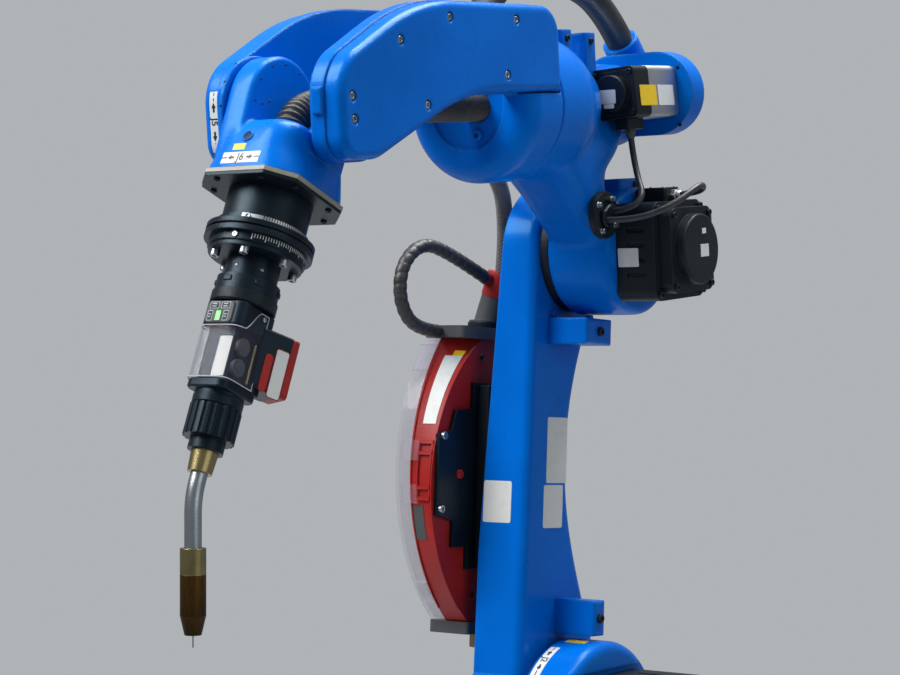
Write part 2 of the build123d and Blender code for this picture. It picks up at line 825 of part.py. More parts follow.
nozzle_plane = Plane(origin=neck_tip, x_dir=(down, 0, -back), z_dir=(-back, 0, -down))


with BuildPart() as nozzle_ring:
    with BuildSketch(nozzle_plane):
        Circle(nozzle_radius)
    extrude(amount=nozzle_ring_length)
keep(nozzle_ring, "nozzle_ring", wrist_frame)

tip_start = nozzle_ring_length + nozzle_length
with BuildPart() as nozzle:
    with BuildSketch(nozzle_plane.offset(nozzle_ring_length)):
        Circle(nozzle_radius)
    extrude(amount=nozzle_length)
    with BuildSketch(nozzle_plane.offset(tip_start)):
        Circle(nozzle_radius)
    with BuildSketch(nozzle_plane.offset(tip_start + nozzle_tip_length)):
        Circle(nozzle_tip_radius)
    loft()
    with BuildSketch(nozzle_plane.offset(nozzle_ring_length)):
        Circle(nozzle_bore)
    extrude(amount=nozzle_length + nozzle_tip_length, mode=Mode.SUBTRACT)
keep(nozzle, "nozzle", wrist_frame)
with BuildPart() as contact_wire:
    with BuildSketch(nozzle_plane.offset(nozzle_ring_length)):
        Circle(wire_diameter / 2)
    extrude(amount=nozzle_length + nozzle_tip_length + wire_stickout)
keep(contact_wire, "welding_wire", wrist_frame)

# Torch drive: box with its tension lever, key panel and clear shield
drive_plane = Plane(
    origin=(0, 0, body_top - torch_body_length + drive_box_rise + drive_box_length / 2),
    x_dir=(0, 0, 1),
    z_dir=(-cos(radians(drive_box_turn)), sin(radians(drive_box_turn)), 0),
)
drive_seat = torch_body_depth / 2
with BuildPart() as drive_box:
    with BuildSketch(drive_plane.offset(drive_seat - torch_body_corner)):
        RectangleRounded(drive_box_length, drive_box_width, stop_edge)
    extrude(amount=drive_box_depth + torch_body_corner)
    with BuildSketch(Plane.XY.offset(body_top)):
        RectangleRounded(torch_body_depth, torch_body_width, torch_body_corner)
    extrude(amount=-torch_body_length, mode=Mode.SUBTRACT)
keep(drive_box, "torch_drive_box", wrist_frame)
with BuildPart() as drive_lever:
    with BuildSketch(drive_plane.offset(drive_seat + drive_box_depth)):
        RectangleRounded(drive_box_length, drive_box_width - drive_lever_edge, drive_lever_edge)
    extrude(amount=drive_lever_thickness)
keep(drive_lever, "torch_lever", wrist_frame)

# Wire buffer: bracket, case with a bowed front, clear cover and end caps
buffer_top = lower_arm_length - buffer_head_drop
buffer_foot = buffer_top - buffer_height
bracket_foot = buffer_foot + bracket_rise
buffer_middle = (buffer_foot + buffer_top) / 2


def buffer_outline(inset, head=buffer_front_head, foot=buffer_front_foot):
    """The side outline of the wire buffer: straight behind, bowed in front, drawn in by an inset."""
    with BuildLine() as outline:
        Line((buffer_back_x + inset, buffer_top - inset), (buffer_back_x + inset, buffer_foot + inset))
        Line((buffer_back_x + inset, buffer_foot + inset), (foot - inset, buffer_foot + inset))
        ThreePointArc(
            (foot - inset, buffer_foot + inset),
            (buffer_front_bulge - inset, buffer_middle),
            (head - inset, buffer_top - inset),
        )
        Line((head - inset, buffer_top - inset), (buffer_back_x + inset, buffer_top - inset))
    return outline.line


with BuildPart() as buffer_case:
    with BuildSketch(side(buffer_near_y)):
        add(buffer_outline(0, buffer_near_head, buffer_near_foot))
        make_face()
    with BuildSketch(side(buffer_near_y - buffer_case_width)):
        add(buffer_outline(0))
        make_face()
    loft(ruled=True)
    with BuildSketch(side(buffer_near_y - buffer_wall)):
        add(buffer_outline(buffer_wall, buffer_near_head, buffer_near_foot))
        make_face()
    extrude(amount=buffer_case_width, mode=Mode.SUBTRACT)
keep(buffer_case, "buffer_case", lower_arm_frame)

cover_near = buffer_near_y - buffer_case_width
with BuildPart() as buffer_cover:
    with BuildSketch(side(cover_near)):
        add(buffer_outline(0))
        make_face()
    extrude(amount=buffer_cover_width)
    with BuildSketch(side(cover_near)):
        add(buffer_outline(buffer_cover_wall))
        make_face()
    extrude(amount=buffer_cover_width - buffer_cover_wall, mode=Mode.SUBTRACT)
keep(buffer_cover, "buffer_cover", lower_arm_frame)

cap_width = buffer_case_width + buffer_cover_width
cap_middle_y = buffer_near_y - cap_width / 2


def buffer_cap(front, height):
    """A moulded end cap across the foot or the head of the wire buffer."""
    with BuildPart() as cap:
        with BuildSketch(Plane.XY):
            with Locations(((buffer_back_x + front) / 2, cap_middle_y)):
                RectangleRounded(
                    front - buffer_back_x + buffer_cap_margin, cap_width + buffer_cap_margin, buffer_cap_edge
                )
        extrude(amount=height)
    return cap


head_cap = buffer_cap(buffer_front_head, buffer_cap_height)
keep(head_cap, "buffer_head_cap", lower_arm_frame * Location((0, 0, buffer_top)))
foot_cap = buffer_cap(buffer_front_foot, -buffer_cap_height)
keep(foot_cap, "buffer_foot_cap", lower_arm_frame * Location((0, 0, buffer_foot)))

with BuildPart() as buffer_inlet:
    with BuildSketch(Plane.XY.offset(buffer_foot - buffer_cap_height)):
        with Locations((connector_x, cap_middle_y)):
            RegularPolygon(inlet_radius, 6)
    extrude(amount=-inlet_length)
keep(buffer_inlet, "buffer_inlet", lower_arm_frame)

with BuildPart() as buffer_bracket:
    with BuildSketch(side(buffer_near_y + bracket_thickness)):
        with BuildLine():
            corners = [(bracket_back_x + x * bracket_depth, z * bracket_height) for x, z in bracket_shares]
            Polyline(*[(x, bracket_foot + z) for x, z in corners], close=True)
        make_face()
    extrude(amount=bracket_thickness)
    with BuildSketch(side(arm_head_far_y)):
        with Locations((spacer_size, bracket_foot + bracket_height / 2)):
            with GridLocations(0, spacer_pitch, 1, 2):
                Rectangle(spacer_size, spacer_size)
    extrude(amount=arm_head_far_y - buffer_near_y - bracket_thickness / 2)
    add(lower_arm_casting.part, mode=Mode.SUBTRACT)
keep(buffer_bracket, "buffer_bracket", lower_arm_frame)

connector_aim = (0, sin(radians(connector_tilt)), cos(radians(connector_tilt)))
connector_foot = (connector_x, cap_middle_y, buffer_top + buffer_cap_height)
connector_plane = Plane(origin=connector_foot, x_dir=(1, 0, 0), z_dir=connector_aim)
with BuildPart() as buffer_connector:
    with BuildSketch(Plane.XY.offset(buffer_top + buffer_cap_height)):
        with Locations((connector_x, cap_middle_y)):
            Circle(connector_ring_radius)
    extrude(amount=connector_ring_length)
    with BuildSketch(connector_plane):
        Circle(connector_radius)
    extrude(amount=connector_ring_length + connector_length)
    split(bisect_by=Plane.XY.offset(buffer_top + buffer_cap_height), keep=Keep.TOP)
keep(buffer_connector, "buffer_connector", lower_arm_frame)

clamp_plane = connector_plane.offset(connector_ring_length + connector_length)
loop_route = [Vector(x, y, z + buffer_top) for x, y, z in (*loop_shape, loop_tail)]
loop_aim = (loop_route[-2] - loop_route[-1]).normalized()
with BuildPart() as hose_clamp:
    with BuildSketch(clamp_plane):
        Circle(clamp_radius)
    extrude(amount=clamp_length)
    with BuildSketch(Plane(origin=loop_route[-1], z_dir=loop_aim)):
        Circle(loop_diameter / 2)
    extrude(amount=-clamp_radius)
keep(hose_clamp, "hose_clamp", lower_arm_frame)

# Hoses and leads
motor_down = Vector(0, sin(radians(j4_motor_roll)), -cos(radians(j4_motor_roll)))
motor_heart = Vector(j4_terminal_x, j4_motor_y, j4_motor_z)
terminal_plane = Plane(origin=motor_heart + motor_down * (j4_motor_frame / 2), x_dir=(1, 0, 0), z_dir=motor_down)
with BuildPart() as j4_terminal_box:
    with BuildSketch(terminal_plane):
        RectangleRounded(2 * j4_terminal_size, j4_terminal_size, motor_lead / 4)
    extrude(amount=j4_terminal_drop)
keep(j4_terminal_box, "j4_terminal_box", elbow_frame)

lead_end = motor_heart + motor_down * (j4_motor_frame / 2 + j4_terminal_drop)
j4_lead = tube((*j4_lead_start, lead_end + motor_down * lead_run, lead_end), motor_lead)
keep(j4_lead, "j4_motor_lead", elbow_frame)
j3_lead = tube(j3_lead_route, motor_lead)
keep(j3_lead, "j3_motor_lead", elbow_frame)
umbilical = tube(umbilical_route, umbilical_diameter)
keep(umbilical, "forearm_umbilical", elbow_frame)
loop = tube(loop_route, loop_diameter)
keep(loop, "buffer_loop_hose", lower_arm_frame)

elbow_on_arm = Location((0, 0, lower_arm_length), (0, forearm_dip - lower_arm_lean, 0))
hose_radius = elbow_bell_radius + saddle_thickness / 2
hose_line = (hose_radius * saddle_out[0], elbow_rise + hose_radius * saddle_out[1])
hose_end_x = saddle_x - saddle_width / 2
hose_end = (elbow_on_arm * Location((hose_end_x, *hose_line))).position
hose_turn = (elbow_on_arm * Location((hose_end_x - hosepack_reach, *hose_line))).position
hose_start = Vector(*connector_foot) + Vector(*connector_aim) * (
    connector_ring_length + connector_length + clamp_length
)
hose_rise = hose_start + Vector(*connector_aim) * hosepack_rise
hosepack = tube((hose_start, hose_rise, hose_turn, hose_end), hosepack_diameter)
keep(hosepack, "torch_hosepack", lower_arm_frame)

wrist_turn = radians(tool_lean + forearm_dip)
conduit_route = (
    (neck_end - running_gap, conduit_y, 0),
    (forearm_length, conduit_y, 0),
    (forearm_length + conduit_lead * sin(wrist_turn), conduit_y, -conduit_lead * cos(wrist_turn)),
)
conduit = tube(conduit_route, conduit_diameter)
keep(conduit, "torch_conduit", forearm_frame)
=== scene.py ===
"""Looks of a six-axis arc-welding robot arm, dressed over the solids that carry it.

Lengths are metres in the robot's own frame: X forwards, Y to its left and Z up. Pieces are drawn in the
frame of the link that carries them, as the solids are, and put at their place by the pose at rest.
"""

import json
from math import cos, pi, radians, sin

import bpy
import numpy as np
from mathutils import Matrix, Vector


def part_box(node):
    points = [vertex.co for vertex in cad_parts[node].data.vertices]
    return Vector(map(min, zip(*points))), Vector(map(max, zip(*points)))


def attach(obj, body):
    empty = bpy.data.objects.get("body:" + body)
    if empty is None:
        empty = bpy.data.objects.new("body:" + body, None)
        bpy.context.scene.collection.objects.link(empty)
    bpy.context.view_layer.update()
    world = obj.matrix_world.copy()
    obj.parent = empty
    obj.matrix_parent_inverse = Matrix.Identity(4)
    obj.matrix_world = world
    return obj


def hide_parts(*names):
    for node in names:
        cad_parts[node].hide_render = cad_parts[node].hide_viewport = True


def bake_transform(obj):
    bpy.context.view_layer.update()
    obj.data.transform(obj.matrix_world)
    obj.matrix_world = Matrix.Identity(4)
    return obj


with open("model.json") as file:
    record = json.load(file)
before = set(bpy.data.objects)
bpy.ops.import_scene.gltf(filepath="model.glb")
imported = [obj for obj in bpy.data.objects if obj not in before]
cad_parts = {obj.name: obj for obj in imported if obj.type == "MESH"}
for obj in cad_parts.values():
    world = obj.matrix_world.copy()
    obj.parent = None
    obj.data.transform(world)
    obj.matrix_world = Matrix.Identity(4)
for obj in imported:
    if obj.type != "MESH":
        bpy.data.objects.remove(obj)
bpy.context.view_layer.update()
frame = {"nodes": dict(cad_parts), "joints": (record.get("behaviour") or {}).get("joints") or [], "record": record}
scene = bpy.context.scene
scene.view_settings.view_transform = "Standard"


# Links

FORWARD, LEFT, UP = np.eye(3)
LOWER_ARM_LEAN, FOREARM_DIP, TOOL_LEAN = -3.0, 5.0, 22.0
ELBOW_RISE = 0.190


class Link:
    """A body's frame at rest: an origin on its joint, and a lean about the Y axis in degrees."""

    def __init__(self, body, origin=(0, 0, 0), lean=0.0):
        c, s = cos(radians(lean)), sin(radians(lean))
        self.body = body
        self.origin = np.asarray(origin, float)
        self.axes = np.array(((c, 0, s), (0, 1, 0), (-s, 0, c)))

    def place(self, points):
        """Points of the link's frame, in the robot's frame."""
        return np.asarray(points, float) @ self.axes.T + self.origin


pivot = {joint["name"]: joint["pos_m"] for joint in frame["joints"]}
base, turret = Link("base"), Link("turret")
lower_arm = Link("lower_arm", pivot["j2_lower_arm"], LOWER_ARM_LEAN)
elbow = Link("elbow", pivot["j3_elbow"], FOREARM_DIP)
forearm = Link("forearm", elbow.place((0, 0, ELBOW_RISE)), FOREARM_DIP)
wrist_bodies = ("wrist", "tool", "forearm")
wrist, tool, fork_tip = (Link(body, pivot["j5_wrist_bend"], -TOOL_LEAN) for body in wrist_bodies)


# Shapes: arrays of points and faces


def unit(vectors):
    """Vectors drawn out or in to a length of 1."""
    return vectors / np.linalg.norm(vectors, axis=-1, keepdims=True)


def raised(outline, level):
    """An outline of X and Y as points at a level of Z."""
    return np.c_[outline, np.full(len(outline), level)]


class Shape:
    """Points and faces worked out as arrays: quads, and the flat polygons that close their ends."""

    def __init__(self, points, quads=(), caps=(), uv=None):
        self.points = np.asarray(points, float).reshape(-1, 3)
        self.quads = np.asarray(quads, int).reshape(-1, 4)
        self.caps = [np.asarray(cap, int) for cap in caps]
        self.uv = uv

    def at(self, origin, x=FORWARD, z=UP):
        """The shape at a point, its X and Z turned to two directions; LEFT takes over from an X along Z."""
        z = unit(np.asarray(z, float))
        x = LEFT if abs(np.dot(x, z)) > 0.99 * np.linalg.norm(x) else np.asarray(x, float)
        x = unit(x - np.dot(x, z) * z)
        turn = np.stack((x, np.cross(z, x), z), axis=1)
        return Shape(self.points @ turn.T + np.asarray(origin, float), self.quads, self.caps, self.uv)


def joined(shapes):
    """Several shapes as one: their points in a row, with the face numbers shifted to match."""
    starts = np.cumsum([0] + [len(shape.points) for shape in shapes])
    quads = [shape.quads + start for shape, start in zip(shapes, starts)]
    caps = [cap + start for shape, start in zip(shapes, starts) for cap in shape.caps]
    return Shape(np.concatenate([shape.points for shape in shapes]), np.concatenate(quads), caps)


def skin(rings):
    """A skin over closed rings of points, (ring, point, xyz): a quad per cell, and a flat cap at each end."""
    rings = np.asarray(rings)
    count, size = rings.shape[:2]
    here = np.arange(count * size).reshape(count, size)
    along = np.roll(here, -1, axis=1)
    quads = np.stack((here[:-1], along[:-1], along[1:], here[1:]), axis=-1)
    return Shape(rings, quads, (here[0][::-1], here[-1]))


def turned(profile, sides=40, radius=None):
    """A turned piece about Z: each (radius, height) of the profile is swept round a circle.

    Where radius is given, it is a function of the angle and of the profile's row, and scales the rings.
    """
    angle = np.linspace(0, 2 * pi, sides, endpoint=False)
    profile = np.asarray(profile, float)
    reach = np.broadcast_to(profile[:, :1], (len(profile), sides)).copy()
    if radius is not None:
        reach *= radius(angle, np.arange(len(profile))[:, None])
    height = np.broadcast_to(profile[:, 1:2], reach.shape)
    return skin(np.stack((reach * np.cos(angle), reach * np.sin(angle), height), axis=-1))


def hexagon(angle):
    """Distance at an angle to the edge of a hexagon of inner radius 1: 1 / cos of the angle off a flat."""
    return 1 / np.cos((angle + pi / 6) % (pi / 3) - pi / 6)


def rounded(width, height, corner, steps=6):
    """Outline of a rounded rectangle: a quarter circle at each corner, set out from the corner's centre."""
    quarter = np.linspace(0, pi / 2, steps)
    angle = (quarter + pi / 2 * np.arange(4)[:, None]).ravel()
    centre_x = np.repeat(np.array((1, -1, -1, 1)) * (width / 2 - corner), steps)
    centre_y = np.repeat(np.array((1, 1, -1, -1)) * (height / 2 - corner), steps)
    return np.stack((centre_x + corner * np.cos(angle), centre_y + corner * np.sin(angle)), axis=-1)


def plate(width, height, thickness, corner, edge=0.0):
    """A flat plate on Z = 0: a rounded rectangle, raised and drawn in by a small edge at the top."""
    edge = edge or thickness / 3
    rim = rounded(width, height, corner)
    top = rounded(width - 2 * edge, height - 2 * edge, max(corner - edge, edge / 4))
    return skin([raised(rim, 0.0), raised(rim, thickness - edge), raised(top, thickness)])


def ribbon(line, width, thickness, across):
    """A flat strip: a rectangle carried along a line of points, with its width in the direction across."""
    across = np.broadcast_to(across, line.shape)
    out = unit(np.cross(np.gradient(line, axis=0), across))
    half = across * width / 2
    corners = (line - half, line + half, line + half + out * thickness, line - half + out * thickness)
    return skin(np.stack(corners, axis=1)[:, ::-1])


def drawn(curve):
    """The points and faces that a curve is drawn with; the curve itself is taken away."""
    holder = bpy.data.objects.new("drawn", curve)
    scene.collection.objects.link(holder)
    mesh = bpy.data.meshes.new_from_object(holder)
    points = np.empty(len(mesh.vertices) * 3)
    mesh.vertices.foreach_get("co", points)
    faces = [np.array(face.vertices[:]) for face in mesh.polygons]
    bpy.data.objects.remove(holder)
    bpy.data.curves.remove(curve)
    bpy.data.meshes.remove(mesh)
    return points.reshape(-1, 3), faces


def smooth_line(points):
    """Points along the smooth spline that has a route's points as its control points."""
    points = np.asarray(points, float)
    curve = bpy.data.curves.new("route", "CURVE")
    curve.dimensions = "3D"
    curve.resolution_u = 32
    spline = curve.splines.new("NURBS")
    spline.points.add(len(points) - 1)
    spline.points.foreach_set("co", np.c_[points, np.ones(len(points))].ravel())
    spline.order_u = 3
    spline.use_endpoint_u = True
    return drawn(curve)[0]


def lengths(line):
    """The length from a line's start to each of its points."""
    return np.r_[0, np.cumsum(np.linalg.norm(np.diff(line, axis=0), axis=1))]


def follow(values, far, along):
    """Rows of values at lengths along a line, worked out between the points that lie at the lengths far."""
    return np.stack([np.interp(along, far, column) for column in values.T], axis=-1)


def hose(line, radius, across, step=0.004, sides=32, swell=None):
    """A round hose: a circle carried along a line, square to it, at points spread about one step apart.

    The circle's first direction is as near to across as it can be. Where swell is given, it is a function of
    the length from the start and of the angle, and is added to the radius. UV is length and girth in metres.
    """
    far = lengths(line)
    along = np.linspace(0, far[-1], max(int(far[-1] / step), 8))
    line = follow(line, far, along)
    run = unit(np.gradient(line, axis=0))
    side = unit(across - (run @ np.asarray(across, float))[:, None] * run)
    rise = np.cross(run, side)
    angle = np.linspace(0, 2 * pi, sides, endpoint=False)
    reach = np.full((len(line), sides), radius)
    if swell is not None:
        reach = reach + swell(along[:, None], angle)
    circle = side[:, None] * np.cos(angle)[:, None] + rise[:, None] * np.sin(angle)[:, None]
    shape = skin(line[:, None] + reach[..., None] * circle)
    turns = np.r_[angle, 2 * pi] * radius
    u = np.broadcast_to(along[:, None], (len(line), sides))
    low, high = np.broadcast_to(turns[:-1], u.shape), np.broadcast_to(turns[1:], u.shape)
    corners = ((u[:-1], low[:-1]), (u[:-1], high[:-1]), (u[1:], high[1:]), (u[1:], low[1:]))
    shape.uv = np.stack([np.stack(corner, axis=-1) for corner in corners], axis=-2).reshape(-1, 2)
    return shape


def piece(name, shape, finish, link=None, slot=None, sharp=35.0, stands_for=()):
    """Puts a shape into a mesh of its own: one that is drawn on a link rides on the link's body.

    The slot, the finish's own where it has one or another that is named, is worked out but not used.
    """
    points = link.place(shape.points) if link else shape.points
    loops = np.concatenate([shape.quads.ravel(), *shape.caps])
    sizes = np.r_[np.full(len(shape.quads), 4), [len(cap) for cap in shape.caps]].astype(int)
    mesh = bpy.data.meshes.new(name)
    mesh.vertices.add(len(points))
    mesh.vertices.foreach_set("co", points.ravel())
    mesh.loops.add(len(loops))
    mesh.loops.foreach_set("vertex_index", loops)
    mesh.polygons.add(len(sizes))
    mesh.polygons.foreach_set("loop_start", np.r_[0, np.cumsum(sizes)[:-1]])
    mesh.polygons.foreach_set("use_smooth", np.ones(len(sizes), bool))
    if shape.uv is not None:
        layer = mesh.uv_layers.new(name="run")
        layer.data.foreach_set("uv", np.r_[shape.uv, np.zeros((len(loops) - len(shape.uv), 2))].ravel())
    mesh.update(calc_edges=True)
    mesh.set_sharp_from_angle(angle=radians(sharp))
    mesh.materials.append(finish)
    made = bpy.data.objects.new(name, mesh)
    scene.collection.objects.link(made)
    if link:
        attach(made, link.body)
    slot = slot or next((own for own, kept in FINISH_OF_SLOT.items() if kept == finish), None)
    if stands_for:
        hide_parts(*stands_for)
    return made


# Small parts

SQUARE = ((1, 1), (-1, 1), (-1, -1), (1, -1))


def ring(outer, inner, height, sides=40, edge=0.0004):
    """A flat ring about Z: a small rectangle with eased edges, swept round a circle and closed on itself."""
    profile = (
        (outer - edge, 0), (outer, edge), (outer, height - edge), (outer - edge, height),
        (inner + edge, height), (inner, height - edge), (inner, edge), (inner + edge, 0),
    )
    shape = turned(profile, sides)
    last = (len(profile) - 1) * sides
    first = np.arange(sides)
    after = np.roll(first, -1)
    closing = np.stack((first + last, after + last, after, first), axis=-1)
    return Shape(shape.points, np.concatenate((shape.quads, closing)))


def disc(radius, height, sides=56):
    """A plain round disc on Z = 0."""
    return turned(((radius, 0), (radius, height)), sides)


def socket_screw(radius, height):
    """A cap screw on Z = 0: a turned head with an eased rim, and a hexagon sunk in its top."""
    rim, key, depth = 0.12 * radius, 0.5 * radius, 0.55 * height
    profile = (
        (radius, 0), (radius, height - rim), (radius - rim, height), (key * 1.25, height),
        (key, height), (key, height - depth), (key * 0.2, height - depth * 1.1),
    )
    sunk = (4, 5)
    return turned(profile, 24, lambda angle, row: np.where(np.isin(row, sunk), hexagon(angle), 1.0))


def hex_bolt(radius, height):
    """A hexagon bolt on Z = 0: a round washer below a six-sided head whose top edge is eased."""
    washer, ease = 0.16 * height, 0.08 * radius
    profile = (
        (1.25 * radius, 0), (1.25 * radius, washer), (0.87 * radius, washer), (0.87 * radius, height - ease),
        (0.78 * radius, height),
    )
    return turned(profile, 36, lambda angle, row: np.where(row >= 2, hexagon(angle), 1.0))


def pan_screw(radius, height):
    """A small domed screw on Z = 0: a quarter ellipse swept round, with a shallow round drive in its top."""
    swing = np.linspace(0, 0.42 * pi, 5)
    dome = np.c_[radius * np.cos(swing), height * np.sin(swing)]
    drive = ((0.3 * radius, height * 0.97), (0.22 * radius, height * 0.5))
    return turned(np.r_[dome, drive], 20)


def cluster(shape, places, z, x=FORWARD):
    """One shape repeated at several places, all turned the same way."""
    return joined([shape.at(place, x, z) for place in places])


def circle(turns, radius, centre, x=FORWARD, y=UP):
    """Places on a circle about a centre, at angles in degrees from its first direction towards its second."""
    angle = np.radians(turns)[:, None]
    return np.asarray(centre, float) + radius * (np.cos(angle) * x + np.sin(angle) * y)


def patch(outline):
    """A flat mark on Z = 0 with the given outline of X and Y."""
    return Shape(raised(np.asarray(outline, float), 0.0), caps=[np.arange(len(outline))])


def bar(width, height):
    """A flat bar on Z = 0, centred."""
    return patch(np.array(((-1, -1), (1, -1), (1, 1), (-1, 1))) * (width / 2, height / 2))


def arrow(length, height):
    """A flat arrow on Z = 0 that points along X: a bar and a triangle."""
    neck = 0.55 * length - length / 2
    outline = np.array((
        (-length / 2, -height / 5), (-neck, -height / 5), (-neck, -height / 2), (length / 2, 0),
        (-neck, height / 2), (-neck, height / 5), (-length / 2, height / 5),
    ))
    return patch(outline)


def axis_marks(words, pitch, height):
    """The marks of a joint's turn strip, along X: its number, an arrow each way with a dash beyond it."""
    curve = bpy.data.curves.new("words", "FONT")
    curve.body = words
    curve.size = 1.9 * height
    curve.offset = 0.02 * curve.size
    curve.align_x, curve.align_y = "CENTER", "CENTER"
    curve.resolution_u = 3
    points, faces = drawn(curve)
    ahead, dash = arrow(pitch, height), bar(0.9 * pitch, 0.22 * height)
    back = Shape(ahead.points * (-1, -1, 1), caps=ahead.caps)
    spots = ((ahead, 1.5), (back, -1.5), (dash, 2.6), (dash, -2.6))
    return joined([Shape(points, caps=faces), *[mark.at((pitches * pitch, 0, 0)) for mark, pitches in spots]])


def wrapped(shape, line, across, lift):
    """A flat shape laid on a curved strip: its X along a line, its Y across it, lifted off the surface."""
    far = lengths(line)
    along = far[-1] / 2 + shape.points[:, 0]
    aim = follow(np.gradient(line, far, axis=0), far, along)
    out = unit(np.cross(aim, across))
    points = follow(line, far, along) + shape.points[:, 1:2] * np.asarray(across, float) + lift * out
    return Shape(points, shape.quads, shape.caps)


def block(width, depth, height, corner, edge):
    """A block on Z = 0: a rounded rectangle raised to a height, with an eased edge at its foot and top."""
    full = rounded(width, depth, corner)
    small = rounded(width - 2 * edge, depth - 2 * edge, max(corner - edge, edge / 4))
    return skin([raised(small, 0.0), raised(full, edge), raised(full, height - edge), raised(small, height)])


def shell(outer, inner):
    """A thin wall between two grids of points, (row, column, xyz): both faces, and a strip at each edge."""
    rows, columns = outer.shape[:2]
    front = np.arange(rows * columns).reshape(rows, columns)
    face = np.stack((front[:-1, :-1], front[:-1, 1:], front[1:, 1:], front[1:, :-1]), axis=-1).reshape(-1, 4)
    edge = np.concatenate((front[0, ::-1], front[1:, 0], front[-1, 1:], front[-2::-1, -1]))
    far = edge + rows * columns
    strip = np.stack((edge[:-1], edge[1:], far[1:], far[:-1]), axis=-1)
    points = np.concatenate((outer.reshape(-1, 3), inner.reshape(-1, 3)))
    return Shape(points, np.concatenate((face, face[:, ::-1] + rows * columns, strip[:, ::-1])))


# Finishes


class Value:
    """A socket of a finish's nodes; arithmetic on it adds Math nodes."""

    def __init__(self, finish, socket):
        self.finish = finish
        self.socket = socket

    def math(self, operation, *others):
        """The result of a Math node on this value and others."""
        return self.finish.add("ShaderNodeMath", {"operation": operation}, dict(enumerate((self, *others))))

    def __add__(self, other):
        return self.math("ADD", other)

    __radd__ = __add__

    def __mul__(self, other):
        return self.math("MULTIPLY", other)

    __rmul__ = __mul__

    def __sub__(self, other):
        return self.math("SUBTRACT", other)

    def __rsub__(self, other):
        return (self * -1.0).math("ADD", other)

    def __pow__(self, other):
        return self.math("POWER", other)

    def clipped(self, low, high):
        """0 up to low, 1 from high, and a straight ramp between them."""
        inputs = {"Value": self, "From Min": low, "From Max": high}
        return self.finish.add("ShaderNodeMapRange", {"clamp": True, "interpolation_type": "LINEAR"}, inputs)


class Finish:
    """A procedural material: nodes that end in one Principled shader."""

    def __init__(self, name, **constants):
        self.material = bpy.data.materials.new(name)
        self.material.use_nodes = True
        self.nodes = self.material.node_tree.nodes
        self.links = self.material.node_tree.links
        self.shader = self.nodes["Principled BSDF"]
        self.set(self.shader, {key.replace("_", " "): value for key, value in constants.items()})

    def set(self, node, inputs):
        """Gives a node's sockets their values or links."""
        for key, value in inputs.items():
            if isinstance(value, Value):
                self.links.new(value.socket, node.inputs[key])
            elif isinstance(value, tuple) and len(value) == 3 and node.inputs[key].type == "RGBA":
                node.inputs[key].default_value = (*value, 1.0)
            else:
                node.inputs[key].default_value = value

    def add(self, kind, settings=None, inputs=None, out=0):
        """Adds any node: its settings are set first, then its sockets, and one of its outputs comes back."""
        node = self.nodes.new(kind)
        for key, value in (settings or {}).items():
            setattr(node, key, value)
        self.set(node, inputs or {})
        return Value(self, node.outputs[out])

    def place(self, stretch=(1, 1, 1), turn=(0, 0, 0)):
        """Object coordinates, stretched and turned by a Mapping node."""
        where = self.add("ShaderNodeTexCoord", out="Object")
        return self.add("ShaderNodeMapping", None, {"Vector": where, "Scale": stretch, "Rotation": turn})

    def noise(self, where, scale, detail=2.0, roughness=0.5):
        """Smooth noise of a given fineness, per metre."""
        inputs = {"Vector": where, "Scale": scale, "Detail": detail, "Roughness": roughness}
        return self.add("ShaderNodeTexNoise", None, inputs)

    def blend(self, share, first, second):
        """A colour between two others."""
        mixed = self.nodes.new("ShaderNodeMix")
        mixed.data_type = "RGBA"
        for socket, value in ((0, share), (6, first), (7, second)):
            self.set(mixed, {socket: value})
        return Value(self, mixed.outputs[2])

    def edges(self, radius):
        """The normal rounded over each edge by a radius, and a mask that is 1 along the edges."""
        soft = self.add("ShaderNodeBevel", {"samples": 4}, {"Radius": radius})
        flat = self.add("ShaderNodeNewGeometry", out="Normal")
        dot = {"operation": "DOT_PRODUCT"}
        match = self.add("ShaderNodeVectorMath", dot, {0: soft, 1: flat}, out="Value")
        return soft, (1.0 - match).clipped(0.02, 0.18)

    def show(self, tone, rough):
        """Gives the shader its colour and its roughness."""
        self.set(self.shader, {"Base Color": tone, "Roughness": rough})

    def relief(self, height, distance, normal=None):
        """Raises the surface by a height of 0 to 1 times a distance."""
        inputs = {"Height": height, "Distance": distance, "Strength": 1.0}
        if normal is not None:
            inputs["Normal"] = normal
        self.set(self.shader, {"Normal": self.add("ShaderNodeBump", None, inputs)})


def painted(name, deep, bright, rough, peel, edge, coat, glint):
    """Gloss paint on a casting: slow drift of tone, orange peel, faint grime and paler edges."""
    paint = Finish(name, Coat_Weight=coat, Coat_Roughness=0.05, Specular_IOR_Level=0.22, Specular_Tint=glint)
    where = paint.place()
    drift = paint.noise(where, 7.0, 3.0)
    grime = paint.noise(where, 38.0, 6.0, 0.62).clipped(0.55, 0.78)
    skin_peel = paint.noise(where, peel, 1.5)
    sand = paint.noise(where, 160.0, 3.0)
    soft, worn = paint.edges(edge)
    tone = paint.blend(drift.clipped(0.3, 0.7), deep, bright)
    tone = paint.blend(grime * 0.22, tone, tuple(0.45 * part for part in deep))
    tone = paint.blend(worn * 0.14, tone, (0.10, 0.40, 0.86) if coat else (0.16, 0.17, 0.18))
    paint.show(tone, rough + drift * 0.08 + grime * 0.16)
    paint.relief(skin_peel * 0.6 + sand * 0.4, 0.00022, soft)
    return paint.material


